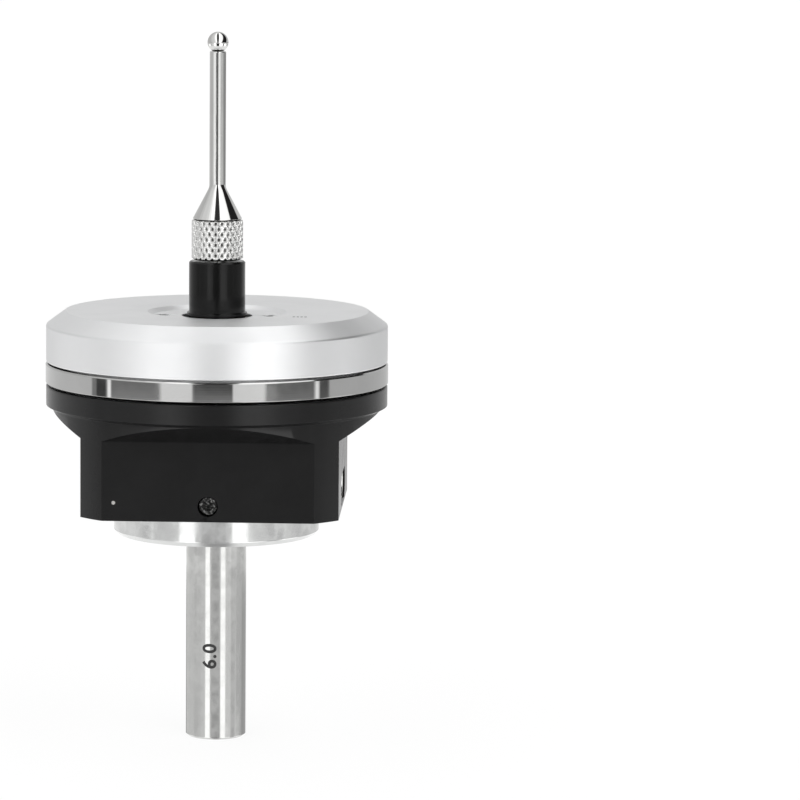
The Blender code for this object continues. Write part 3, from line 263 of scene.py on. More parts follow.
class SurfaceGroups:
    """The node groups that several finishes share, each built once."""

    def __init__(self) -> None:
        """Build the groups."""
        self.grain = self._grain()
        self.turning = self._turning()
        self.clouds = self._clouds()
        self.pits = self._pits()

    def _start(self, name: str, *numbers: str) -> tuple[Graph, dict]:
        """Start a shader node group that reads coordinates and some numbers.

        Args:
            name: the group's name.
            numbers: its number inputs.

        Returns:
            The graph and the sockets to read from.
        """
        inputs = {"Coordinates": "Vector", **{number: "Float" for number in numbers}}
        return start_tree("ShaderNodeTree", name, inputs, {"Result": "Float"})

    def _noise(
        self, graph: Graph, place: object, size: object, detail: float, rough: float
    ) -> bpy.types.NodeSocket:
        """Add a noise texture.

        Args:
            graph: the group's graph.
            place: the socket of the coordinates.
            size: the socket of the pattern's size.
            detail: how many finer layers it gets.
            rough: how much the finer layers count.

        Returns:
            The noise's socket.
        """
        scale = graph.math("DIVIDE", 1.0, size)
        inputs = {"Vector": place, "Scale": scale, "Detail": detail, "Roughness": rough}
        return graph.add("ShaderNodeTexNoise", inputs).outputs["Fac"]

    def _radius(self, graph: Graph, coordinates: bpy.types.NodeSocket) -> tuple[bpy.types.NodeSocket, ...]:
        """Distance from the Z axis, and the height.

        Args:
            graph: the group's graph.
            coordinates: the coordinates that are read.

        Returns:
            The sockets of the radius and of the height.
        """
        x, y, z = graph.add("ShaderNodeSeparateXYZ", {0: coordinates}).outputs
        squares = [graph.math("MULTIPLY", axis, axis) for axis in (x, y)]
        return graph.math("SQRT", graph.math("ADD", *squares)), z

    def _grain(self) -> bpy.types.NodeTree:
        """Fine grain, as blasting or moulding leaves it: its height, from 0 to 1."""
        graph, reads = self._start("fine_grain", "Size")
        noise = self._noise(graph, reads["Coordinates"], reads["Size"], detail=2.0, rough=0.6)
        graph.add("NodeGroupOutput", {"Result": noise})
        return graph.tree

    def _turning(self) -> bpy.types.NodeTree:
        """Fine rings round the Z axis, as a lathe or a grinding wheel leaves them: their height."""
        graph, reads = self._start("turning_marks", "Size")
        radius, height = self._radius(graph, reads["Coordinates"])
        place = graph.add("ShaderNodeCombineXYZ", {"X": radius, "Z": height}).outputs[0]
        noise = self._noise(graph, place, reads["Size"], detail=3.0, rough=0.5)
        graph.add("NodeGroupOutput", {"Result": noise})
        return graph.tree

    def _clouds(self) -> bpy.types.NodeTree:
        """Soft patches, where a surface is a little duller or darker: 0 to 1."""
        graph, reads = self._start("soft_patches", "Size", "Cover")
        noise = self._noise(graph, reads["Coordinates"], reads["Size"], detail=3.0, rough=0.55)
        start, end = (graph.math("SUBTRACT", limit, reads["Cover"]) for limit in PATCH_LIMITS)
        graph.add("NodeGroupOutput", {"Result": graph.ease(noise, start, end)})
        return graph.tree

    def _pits(self) -> bpy.types.NodeTree:
        """Painted shade in the pits of a turned surface: 1 well below a radius, 0 above it."""
        graph, reads = self._start("pit_dirt", "Radius", "Fade")
        radius = self._radius(graph, reads["Coordinates"])[0]
        below = graph.math("DIVIDE", graph.math("SUBTRACT", reads["Radius"], radius), reads["Fade"])
        graph.add("NodeGroupOutput", {"Result": graph.ease(below, 0.0, 1.0)})
        return graph.tree


@dataclass(frozen=True)
class Finish:
    """One surface finish, as a maker would name it.

    Args:
        name: the finish's name.
        colour: its linear colour.
        roughness: from 0, polished, to 1, dull.
        metallic: 1 for bare metal, 0 for anything else.
        specular: the shader's specular level.
        marks: how the surface was worked.
        mark_size: width of a mark or a grain.
        mark_depth: depth of the marks.
        patch_size: width of the soft patches.
        patch_dulling: how much rougher the dull patches are.
        patch_shade: how much darker the dark patches are, as a share.
        patch_cover: how much of the surface the patches take, about 0.3 to 0.7.
        pit_radius: radius from the Z axis below which the pits are painted dark, as painted shade, 0 where
            there are none.
    """

    name: str
    colour: tuple[float, float, float]
    roughness: float
    metallic: float = 0.0
    specular: float = 0.5
    marks: Marks = Marks.GRAINED
    mark_size: float = 0.2 * MM
    mark_depth: float = 0.001 * MM
    patch_size: float = 4.0 * MM
    patch_dulling: float = 0.05
    patch_shade: float = 0.05
    patch_cover: float = 0.5
    pit_radius: float = 0.0

    def _tone(self, share: float) -> tuple[float, ...]:
        """The finish's colour, lighter or darker.

        Args:
            share: 1 for the colour itself, less for a darker one.

        Returns:
            The colour with full cover.
        """
        return (*(share * part for part in self.colour), 1.0)

    def make(self, groups: SurfaceGroups) -> bpy.types.Material:
        """Build the finish's material.

        Args:
            groups: the shared node groups.

        Returns:
            The material.
        """
        material = bpy.data.materials.new(self.name)
        material.use_nodes = True
        material.diffuse_color = self._tone(1.0)
        graph = Graph(material.node_tree)
        place = {"Coordinates": graph.add("ShaderNodeTexCoord").outputs["Object"]}

        patches = {**place, "Size": self.patch_size, "Cover": self.patch_cover}
        amount = graph.add("ShaderNodeGroup", patches, node_tree=groups.clouds).outputs[0]
        colour = graph.tint(amount, self._tone(1.0), self._tone(1.0 - self.patch_shade))
        # Painted shade: the colour darkens deep in the pits, where shadow falls, down to the pit shade level.
        if self.pit_radius > 0.0:
            pits = {**place, "Radius": self.pit_radius, "Fade": PIT_FADE}
            pit_shade = graph.add("ShaderNodeGroup", pits, node_tree=groups.pits).outputs[0]
            colour = graph.tint(pit_shade, colour, self._tone(PIT_SHADE_LEVEL))

        worked = groups.turning if self.marks is Marks.TURNED else groups.grain
        marks = graph.add("ShaderNodeGroup", {**place, "Size": self.mark_size}, node_tree=worked).outputs[0]
        bump = graph.add("ShaderNodeBump", {"Strength": 1.0, "Distance": self.mark_depth, "Height": marks})
        shader = graph.add("ShaderNodeBsdfPrincipled", {
            "Base Color": colour,
            "Metallic": self.metallic,
            "Roughness": graph.between(amount, self.roughness, self.roughness + self.patch_dulling),
            "Specular IOR Level": self.specular,
            "Normal": bump.outputs["Normal"],
        })
        graph.add("ShaderNodeOutputMaterial", {"Surface": shader.outputs["BSDF"]})
        return material


FINISHES = (
    Finish("satin_cap_metal", (0.85, 0.855, 0.86), 0.44, 1.0, patch_dulling=0.04, patch_shade=0.03,
           patch_size=6.0 * MM),
    Finish("turned_flange_metal", (0.65, 0.655, 0.65), 0.07, 1.0, marks=Marks.TURNED, patch_size=1.6 * MM,
           patch_dulling=0.08, patch_shade=0.06, mark_depth=0.0004 * MM),
    Finish("polished_ring_steel", (0.52, 0.52, 0.515), 0.03, 1.0, marks=Marks.TURNED, mark_depth=0.0001 * MM,
           patch_dulling=0.03),
    Finish("ground_shank_steel", (0.57, 0.572, 0.562), 0.06, 1.0, marks=Marks.TURNED, mark_size=0.12 * MM,
           mark_depth=0.0003 * MM, patch_size=1.4 * MM, patch_dulling=0.08, patch_shade=0.1),
    Finish("polished_stylus_steel", (0.64, 0.64, 0.63), 0.06, 1.0, marks=Marks.TURNED, mark_depth=0.0002 * MM,
           patch_dulling=0.04),
    Finish("black_body_finish", (0.012, 0.012, 0.0122), 0.19, 0.0, specular=0.24, mark_depth=0.0003 * MM,
           mark_size=0.15 * MM, patch_dulling=0.05, patch_shade=0.2),
    Finish("black_sleeve_finish", (0.005, 0.005, 0.005), 0.13, 0.0, specular=0.2, mark_depth=0.0006 * MM),
    Finish("blackened_screw_steel", (0.1, 0.1, 0.098), 0.28, 1.0, marks=Marks.TURNED, patch_size=0.4 * MM,
           patch_shade=0.6),
    # The knurl's pits are painted dark, as painted shade.
    Finish("knurled_stylus_steel", (0.76, 0.76, 0.75), 0.24, 1.0, marks=Marks.TURNED, mark_depth=0.0002 * MM,
           patch_dulling=0.06, patch_shade=0.1, patch_size=1.0 * MM, pit_radius=2.38 * MM),
    # The set screws' steel: its colour is speckled dark and bright, and the bright speckles are painted
    # glints.
    Finish("worn_grub_steel", (0.6, 0.6, 0.59), 0.3, 1.0, marks=Marks.TURNED, patch_size=0.22 * MM,
           patch_shade=0.95, patch_cover=0.62),
    Finish("bright_port_steel", (0.6, 0.6, 0.59), 0.22, 1.0, patch_size=1.0 * MM),
    Finish("port_plastic", (0.012, 0.012, 0.012), 0.5, 0.0),
    Finish("gold_contact", (0.86, 0.62, 0.25), 0.2, 1.0),
    Finish("drawn_spring_wire", (0.5, 0.5, 0.49), 0.25, 1.0),
    Finish("machined_brass", (0.75, 0.55, 0.26), 0.25, 1.0, marks=Marks.TURNED),
    Finish("bright_ball_steel", (0.66, 0.66, 0.65), 0.08, 1.0),
    Finish("board_lacquer", (0.01, 0.14, 0.05), 0.35, 0.0),
    Finish("chip_plastic", (0.015, 0.015, 0.015), 0.55, 0.0),
    Finish("red_wire_cover", (0.42, 0.015, 0.015), 0.4, 0.0),
    Finish("dark_marking", (0.03, 0.03, 0.03), 0.6, 0.0),
    Finish("pale_chip", (0.5, 0.49, 0.47), 0.5, 0.0),
)


def polar(radius: float, degrees: float, height: float = 0.0) -> Vector:
    """The point at a radius and an angle from +X.

    Args:
        radius: distance from the Z axis.
        degrees: the angle from +X.
        height: place along the Z axis.

    Returns:
        The point.
    """
    angle = math.radians(degrees)
    return Vector((radius * math.cos(angle), radius * math.sin(angle), height))


def link(name: str, data: bpy.types.ID) -> bpy.types.Object:
    """Put a mesh or a curve in the scene under a name.

    Args:
        name: the object's name.
        data: its mesh or curve.

    Returns:
        The object.
    """
    item = bpy.data.objects.new(name, data)
    bpy.context.scene.collection.objects.link(item)
    return item


def quarters(radius: float, start: float) -> list[Vector]:
    """Four points a quarter turn apart.

    Args:
        radius: distance from the Z axis.
        start: angle of the first from +X.

    Returns:
        The points.
    """
    return [polar(radius, start + 90.0 * index) for index in range(4)]


def uprights(places: Iterable[Vector], low: float, high: float) -> list[tuple[Vector, Vector]]:
    """Ends of upright bars.

    Args:
        places: where the bars stand.
        low: height of their lower ends.
        high: height of their upper ends.

    Returns:
        Both ends of each bar.
    """
    return [(place + Vector((0.0, 0.0, low)), place + Vector((0.0, 0.0, high))) for place in places]


def middle_of(name: str) -> tuple[Vector, Vector]:
    """Where a node of the frame is.

    Args:
        name: the node's name.

    Returns:
        The middle of its box, and its lengths along X, Y and Z.
    """
    low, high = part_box(name)
    return (low + high) / 2.0, high - low


def numbered(stem: str, count: int) -> list[str]:
    """Names that end in a number.

    Args:
        stem: what they start with.
        count: how many there are.

    Returns:
        The names, from 1 up.
    """
    return [stem + str(index + 1) for index in range(count)]


def shade(mesh: bpy.types.Mesh) -> None:
    """Shade a mesh smooth, with sharp edges where its faces turn far enough.

    Args:
        mesh: the mesh.
    """
    mesh.shade_smooth()
    mesh.set_sharp_from_angle(angle=math.radians(SMOOTH_ANGLE))


def rounded(corners: Sequence[Corner], closed: bool = True) -> list[tuple[float, float]]:
    """Turn corners with fillets into points.

    A point just beyond each end of a fillet keeps its bend out of the flat beside it.

    Args:
        corners: the outline's corners in order.
        closed: whether the last corner joins the first.

    Returns:
        Radius and height of each point.
    """
    places = [Vector((corner.radius, corner.height)) for corner in corners]
    points: list[tuple[float, float]] = []
    for index, corner in enumerate(corners):
        here = places[index]
        end = not closed and index in (0, len(corners) - 1)
        if corner.fillet <= 0.0 or end:
            points.append(tuple(here))
            continue
        back = places[index - 1] - here
        on = places[(index + 1) % len(places)] - here
        half = back.angle(on) / 2.0
        shorter = min(back.length, on.length)
        reach = min(corner.fillet / math.tan(half), FILLET_SHARE * shorter)
        radius = reach * math.tan(half)
        middle = here + (back.normalized() + on.normalized()).normalized() * (radius / math.sin(half))
        first = here + back.normalized() * reach - middle
        last = here + on.normalized() * reach - middle
        start = math.atan2(first.y, first.x)
        sweep = (math.atan2(last.y, last.x) - start + math.pi) % math.tau - math.pi
        hold = reach + min(SUPPORT, SUPPORT_SHARE * shorter)
        points.append(tuple(here + back.normalized() * hold))
        for step in range(FILLET_STEPS + 1):
            angle = start + sweep * step / FILLET_STEPS
            points.append((middle.x + radius * math.cos(angle), middle.y + radius * math.sin(angle)))
        points.append(tuple(here + on.normalized() * hold))
    return points


def tidy_mesh(builder: bmesh.types.BMesh, name: str) -> bpy.types.Mesh:
    """Merge a mesh's doubles, turn its faces outwards and store it.

    Args:
        builder: the mesh in the making, which is freed.
        name: the mesh's name.

    Returns:
        The finished mesh.
    """
    bmesh.ops.remove_doubles(builder, verts=builder.verts, dist=TINY)
    bmesh.ops.recalc_face_normals(builder, faces=builder.faces)
    mesh = bpy.data.meshes.new(name)
    builder.to_mesh(mesh)
    builder.free()
    shade(mesh)
    return mesh


def turned(
    name: str, points: Sequence[tuple[float, float]], facets: Facets, closed: bool = True
) -> bpy.types.Object:
    """Turn an outline round the Z axis.

    Args:
        name: the object's name.
        points: radius and height of each point.
        facets: how fine the turn is.
        closed: whether the outline closes on itself, or starts and ends on the axis.

    Returns:
        The turned object.
    """
    builder = bmesh.new()
    count = facets.value
    rings = []
    for radius, height in points:
        if radius < TINY:
            rings.append([builder.verts.new((0.0, 0.0, height))] * count)
        else:
            rings.append([builder.verts.new(polar(radius, 360.0 * i / count, height)) for i in range(count)])
    pairs = list(zip(rings, rings[1:]))
    if closed:
        pairs.append((rings[-1], rings[0]))
    for upper, lower in pairs:
        for index in range(count):
            after = (index + 1) % count
            corners = []
            for vertex in (upper[index], lower[index], lower[after], upper[after]):
                if vertex not in corners:
                    corners.append(vertex)
            if len(corners) > 2:
                builder.faces.new(corners)
    return link(name, tidy_mesh(builder, name))


def rods(
    name: str, radius: float, ends: Iterable[tuple[Vector, Vector]], sides: int = Facets.SCREW.value
) -> bpy.types.Object:
    """Straight round bars in one mesh, as cutters for holes.

    Args:
        name: the object's name.
        radius: the bars' radius.
        ends: both end points of each bar.
        sides: flat sides of each bar.

    Returns:
        The object.
    """
    builder = bmesh.new()
    for start, end in ends:
        axis = end - start
        place = Matrix.Translation((start + end) / 2.0) @ axis.to_track_quat("Z", "Y").to_matrix().to_4x4()
        size = {"segments": sides, "radius1": radius, "radius2": radius, "depth": axis.length}
        bmesh.ops.create_cone(builder, cap_ends=True, matrix=place, **size)
    return link(name, tidy_mesh(builder, name))


def block(name: str, low: Vector, high: Vector) -> bpy.types.Object:
    """A box between two corners, as a cutter or the start of a piece.

    Args:
        name: the object's name.
        low: its lowest corner.
        high: its highest corner.

    Returns:
        The object.
    """
    builder = bmesh.new()
    bmesh.ops.create_cube(builder, size=1.0)
    bmesh.ops.scale(builder, vec=high - low, verts=builder.verts)
    bmesh.ops.translate(builder, vec=(low + high) / 2.0, verts=builder.verts)
    return link(name, tidy_mesh(builder, name))


def prism(
    name: str, outline: Sequence[tuple[float, float]], depth: float, placing: Matrix
) -> bpy.types.Object:
    """A flat outline given a depth along its own Z, centred on its plane.

    Args:
        name: the object's name.
        outline: the outline's points in its plane.
        depth: the thickness.
        placing: where the plane goes.

    Returns:
        The object.
    """
    builder = bmesh.new()
    ring = [builder.verts.new((x, y, -depth / 2.0)) for x, y in outline]
    face = builder.faces.new(ring)
    extruded = bmesh.ops.extrude_face_region(builder, geom=[face])
    moved = [item for item in extruded["geom"] if isinstance(item, bmesh.types.BMVert)]
    bmesh.ops.translate(builder, vec=(0.0, 0.0, depth), verts=moved)
    bmesh.ops.transform(builder, matrix=placing, verts=builder.verts)
    return link(name, tidy_mesh(builder, name))


def slot_outline(width: float, height: float) -> list[tuple[float, float]]:
    """The outline of a slot with round ends, lying along X.

    Args:
        width: length over the round ends.
        height: distance between the straight sides.

    Returns:
        The outline's points.
    """
    radius = height / 2.0
    reach = (width - height) / 2.0
    angles = [math.pi * step / SLOT_STEPS for step in range(SLOT_STEPS + 1)]
    right = [(reach + radius * math.sin(angle), -radius * math.cos(angle)) for angle in angles]
    return right + [(-x, -y) for x, y in right]


def facing_x(distance: float, height: float) -> Matrix:
    """Placing that stands a flat outline up to face +X, with its X along world Y.

    Args:
        distance: how far along +X its plane stands.
        height: height of its middle.

    Returns:
        The placing.
    """
    turn = Matrix(((0, 0, 1), (1, 0, 0), (0, 1, 0))).to_4x4()
    return Matrix.Translation((distance, 0.0, height)) @ turn


def carve(item: bpy.types.Object, cutters: Sequence[bpy.types.Object], operation: str = "DIFFERENCE") -> None:
    """Cut an object with others, or join them to it, and remove the others.

    Args:
        item: the object that is changed.
        cutters: the objects that are used up.
        operation: DIFFERENCE, UNION or INTERSECT.
    """
    for cutter in cutters:
        boolean = item.modifiers.new(cutter.name, "BOOLEAN")
        boolean.operation = operation
        boolean.solver = "EXACT"
        boolean.object = cutter
    settle(item)
    for cutter in cutters:
        bpy.data.objects.remove(cutter, do_unlink=True)


def soften(item: bpy.types.Object, width: float, segments: int, degrees: float) -> None:
    """Round an object's sharp edges a little.

    Args:
        item: the object.
        width: width of the rounding.
        segments: faces across it.
        degrees: edges that turn further than this are rounded.
    """
    bevel = item.modifiers.new("soften", "BEVEL")
    bevel.width = width
    bevel.segments = segments
    bevel.limit_method = "ANGLE"
    bevel.angle_limit = math.radians(degrees)
    bevel.miter_outer = "MITER_ARC"
    settle(item)


def flatten(item: bpy.types.Object) -> None:
    """Let an object's broad faces set its shading, so that small roundings don't bend it.

    Args:
        item: the object.
    """
    weigh = item.modifiers.new("flatten", "WEIGHTED_NORMAL")
    weigh.mode = "FACE_AREA"
    weigh.keep_sharp = True
    settle(item)


def settle(item: bpy.types.Object) -> None:
    """Replace an object's mesh by what its modifiers make, and drop the modifiers.

    Args:
        item: the object.
    """
    graph = bpy.context.evaluated_depsgraph_get()
    graph.update()
    mesh = bpy.data.meshes.new_from_object(item.evaluated_get(graph))
    mesh.name = item.name
    item.modifiers.clear()
    item.data = mesh
    shade(mesh)


class Workshop:
    """Makes each finish once, dresses the pieces and hands them to the frame."""

    def __init__(self, nodes: dict[str, bpy.types.Object]) -> None:
        """Make every finish.

        Args:
            nodes: the frame's own objects by name.
        """
        groups = SurfaceGroups()
        self.finishes = {finish.name: finish.make(groups) for finish in FINISHES}
        self.nodes = nodes

    def hand_over(
        self, piece: bpy.types.Object, body: str, finish: str, slot: str, replaced: Sequence[str] = ()
    ) -> None:
        """Dress a piece, let it ride on its body and hide the frame's nodes that it stands for.

        Args:
            piece: the finished piece.
            body: the body that it moves with.
            finish: its finish.
            slot: the name of a material slot; not used.
            replaced: the frame's nodes that it stands for.
        """
        piece.data.materials.clear()
        piece.data.materials.append(self.finishes[finish])
        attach(piece, body)
        if replaced:
            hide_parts(*replaced)
        LOG.info("%s: %d faces on %s", piece.name, len(piece.data.polygons), body)

    def redress(self, finish: str, names: Iterable[str]) -> None:
        """Give nodes of the frame a better finish where their shape is right.

        Args:
            finish: the finish's name.
            names: the nodes.
        """
        for name in names:
            node = self.nodes[name]
            for slot in node.material_slots:
                slot.material = self.finishes[finish]
            if not node.material_slots:
                node.data.materials.append(self.finishes[finish])
            LOG.info("%s: kept, in %s", name, finish)


def run_tree(item: bpy.types.Object, tree: bpy.types.NodeTree, values: dict[str, object]) -> None:
    """Run a geometry tree on an object and keep the plain mesh that it makes.

    Args:
        item: the object.
        tree: the geometry tree.
        values: the value of each named input.
    """
    modifier = item.modifiers.new(tree.name, "NODES")
    modifier.node_group = tree
    for socket in tree.interface.items_tree:
        if socket.name in values:
            modifier[socket.identifier] = values[socket.name]
    settle(item)


class Patterns:
    """The geometry trees: a knurl, copies on points, and a coil."""

    def __init__(self) -> None:
        """Build the trees."""
        self.knurl = self._knurl()
        self.copies = self._copies()
        self.coil = self._coil()

    def _start(self, name: str, kinds: dict[str, str]) -> tuple[Graph, dict]:
        """Start a geometry tree that takes a geometry and a finish.

        Args:
            name: the tree's name.
            kinds: the type of each further input.

        Returns:
            The graph and the sockets to read from.
        """
        inputs = {"Geometry": "Geometry", **kinds, "Finish": "Material"}
        return start_tree("GeometryNodeTree", name, inputs, {"Geometry": "Geometry"})

    def _end(self, graph: Graph, made: bpy.types.Node, finish: bpy.types.NodeSocket) -> bpy.types.NodeTree:
        """End a tree in Realize Instances and Set Material.

        Args:
            graph: the tree's graph.
            made: the node that puts out the geometry so far.
            finish: the input that holds the material.

        Returns:
            The finished tree.
        """
        real = graph.add("GeometryNodeRealizeInstances", {0: made.outputs[0]}).outputs[0]
        dress = graph.add("GeometryNodeSetMaterial", {"Geometry": real, "Material": finish})
        graph.add("NodeGroupOutput", {0: dress.outputs[0]})
        return graph.tree

    def _knurl(self) -> bpy.types.NodeTree:
        """Rounded pits between two crossing families of ridges, round the outside of a collar."""
        floats = {label: "Float" for label in ("Bottom", "Top", "Radius", "Depth", "Ridge", "Rows")}
        graph, reads = self._start("diamond_knurl", {**floats, "Columns": "Int"})
        place = graph.add("GeometryNodeInputPosition").outputs[0]
        x, y, z = graph.add("ShaderNodeSeparateXYZ", {0: place}).outputs
        angle = graph.math("DIVIDE", graph.math("ARCTAN2", y, x), math.tau)
        height = graph.math("SUBTRACT", reads["Top"], reads["Bottom"])
        climb = graph.math("DIVIDE", graph.math("SUBTRACT", z, reads["Bottom"]), height)
        columns = graph.math("MULTIPLY", angle, reads["Columns"])
        rows = graph.math("MULTIPLY", climb, reads["Rows"])
        span = graph.math("SUBTRACT", 0.5, reads["Ridge"])
        pits = []
        for sign in ("ADD", "SUBTRACT"):
            along = graph.math("FRACT", graph.math(sign, columns, rows))
            away = graph.math("ABSOLUTE", graph.math("SUBTRACT", along, 0.5))
            pits.append(graph.math("DIVIDE", graph.math("SUBTRACT", span, away), span, clamp=True))
        pit = graph.ease(graph.math("MULTIPLY", *pits), 0.0, KNURL_FULL_DEPTH)
        ends = [graph.math("MULTIPLY", part, KNURL_RUN_OUT, clamp=True)
                for part in (climb, graph.math("SUBTRACT", 1.0, climb))]
        depth = graph.math("MULTIPLY", reads["Depth"], graph.between(graph.math("MINIMUM", *ends), 1.0, pit))
        inwards = graph.vector("MULTIPLY", a=place, b=(-1.0, -1.0, 0.0)).outputs[0]
        push = graph.vector("SCALE", a=graph.vector("NORMALIZE", a=inwards).outputs[0], scale=depth)
        radius = graph.vector("LENGTH", a=inwards).outputs["Value"]
        outside = graph.math("GREATER_THAN", radius, graph.math("MULTIPLY", reads["Radius"], ALMOST))
        moved = {"Geometry": reads["Geometry"], "Selection": outside, "Offset": push.outputs[0]}
        return self._end(graph, graph.add("GeometryNodeSetPosition", moved), reads["Finish"])

    def _copies(self) -> bpy.types.NodeTree:
        """A copy of one object on every point, turned by the point's own angles."""
        graph, reads = self._start("copies_on_points", {"Original": "Object"})
        original = graph.add("GeometryNodeObjectInfo", {"Object": reads["Original"]})
        turn = graph.add("GeometryNodeInputNamedAttribute", {"Name": "turn"}, data_type="FLOAT_VECTOR")
        copies = graph.add("GeometryNodeInstanceOnPoints", {
            "Points": reads["Geometry"],
            "Instance": original.outputs["Geometry"],
            "Rotation": graph.add("FunctionNodeEulerToRotation", {0: turn.outputs[0]}).outputs[0],
        })
        return self._end(graph, copies, reads["Finish"])

    def _coil(self) -> bpy.types.NodeTree:
        """A round wire along a helix, closed at both ends."""
        graph, reads = self._start("coil", {label: "Float" for label in ("Turns", "Radius", "Rise", "Wire")})
        helix = graph.add("GeometryNodeCurveSpiral", {
            "Resolution": 64,
            "Rotations": reads["Turns"],
            "Start Radius": reads["Radius"],
            "End Radius": reads["Radius"],
            "Height": reads["Rise"],
        })
        section = graph.add("GeometryNodeCurvePrimitiveCircle", {"Resolution": 16, "Radius": reads["Wire"]})
        swept = {"Curve": helix.outputs[0], "Profile Curve": section.outputs[0], "Fill Caps": True}
        return self._end(graph, graph.add("GeometryNodeCurveToMesh", swept), reads["Finish"])


def points_object(name: str, places: Sequence[Vector], turns: Sequence[Vector]) -> bpy.types.Object:
    """An object of bare points, each with the angles that its copy is turned by.

    Args:
        name: the object's name.
        places: the points.
        turns: Euler angles for each point.

    Returns:
        The object.
    """
    mesh = bpy.data.meshes.new(name)
    mesh.from_pydata([tuple(place) for place in places], [], [])
    attribute = mesh.attributes.new("turn", "FLOAT_VECTOR", "POINT")
    for item, turn in zip(attribute.data, turns):
        item.vector = turn
    return link(name, mesh)


@dataclass
class ShankAndFlange:
    """The ground pin, the disc above it and the number marked on the pin."""

    shop: Workshop
    chamfer: float = 0.2 * MM
    flange_chamfer: float = 0.45 * MM
    spigot_radius: float = 4.8 * MM
    bore_gap: float = 0.05 * MM
    body_gap: float = 0.1 * MM
    edge: float = 0.05 * MM
    tap_radius: float = 1.45 * MM
    tap_depth: float = 6.1 * MM
    mark_text: str = "6.0"
    mark_height: float = 1.35 * MM
    mark_turn: float = -99.0
    mark_low: float = 7.2 * MM
    mark_thickness: float = 0.006 * MM
    mark_stroke: float = 0.05 * MM
    mark_spacing: float = 1.1
    mark_fineness: int = 6
    digit_share: float = 0.7

    def build(self) -> None:
        """Build the three pieces."""
        self._shank()
        self._flange()
        self._mark()

    def _shank(self) -> None:
        """The pin, with its end chamfer and the tapped hole in its hidden end."""
        low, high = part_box("shank")
        radius = high.x
        corners = [
            Corner(0.0, high.z - self.tap_depth),
            Corner(self.tap_radius, high.z - self.tap_depth),
            Corner(self.tap_radius, high.z),
            Corner(radius, high.z),
            Corner(radius, low.z + self.chamfer, self.edge),
            Corner(radius - self.chamfer, low.z, self.edge),
            Corner(0.0, low.z),
        ]
        piece = turned("shank_pin", rounded(corners, closed=False), Facets.MIDDLE, closed=False)
        self.shop.hand_over(piece, HOUSING, "ground_shank_steel", "shank", ["shank"])

    def _flange(self) -> None:
        """The disc, with its spigot up into the body's floor."""
        low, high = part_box("mounting_flange")
        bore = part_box("shank")[1].x + self.bore_gap
        radius = high.x
        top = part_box("body_shell")[0].z - self.body_gap
        rounding = self.edge * 2.0
        corners = [
            Corner(bore, high.z),
            Corner(self.spigot_radius, high.z, self.edge),
            Corner(self.spigot_radius, top),
            Corner(radius, top, self.edge),
            Corner(radius, low.z + self.flange_chamfer, rounding),
            Corner(radius - self.flange_chamfer, low.z, rounding),
            Corner(bore, low.z, rounding),
        ]
        piece = turned("flange_disc", rounded(corners), Facets.BROAD)
        self.shop.hand_over(piece, HOUSING, "turned_flange_metal", "flange", ["mounting_flange"])

    def _mark(self) -> None:
        """The plain size number, read upwards, laid round the pin as a thin dark film."""
        curve = bpy.data.curves.new("size_mark", "FONT")
        curve.body = self.mark_text
        curve.size = self.mark_height / self.digit_share
        curve.extrude = self.mark_thickness
        curve.resolution_u = self.mark_fineness
        curve.offset = self.mark_stroke
        curve.space_character = self.mark_spacing
        item = link("size_mark", curve)
        graph = bpy.context.evaluated_depsgraph_get()
        graph.update()
        mesh = bpy.data.meshes.new_from_object(item.evaluated_get(graph))
        bpy.data.objects.remove(item, do_unlink=True)
        builder = bmesh.new()
        builder.from_mesh(mesh)
        bmesh.ops.triangulate(builder, faces=builder.faces)
        bmesh.ops.subdivide_edges(builder, edges=builder.edges, cuts=1)
        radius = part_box("shank")[1].x
        for vertex in builder.verts:
            across = vertex.co.y - self.mark_height / 2.0
            along = vertex.co.x
            angle = self.mark_turn - math.degrees(across / radius)
            out = radius + self.mark_thickness * 0.5 + vertex.co.z
            vertex.co = polar(out, angle, self.mark_low + along)
        piece = link("size_mark", tidy_mesh(builder, "size_mark"))
        self.shop.hand_over(piece, HOUSING, "dark_marking", "shank")


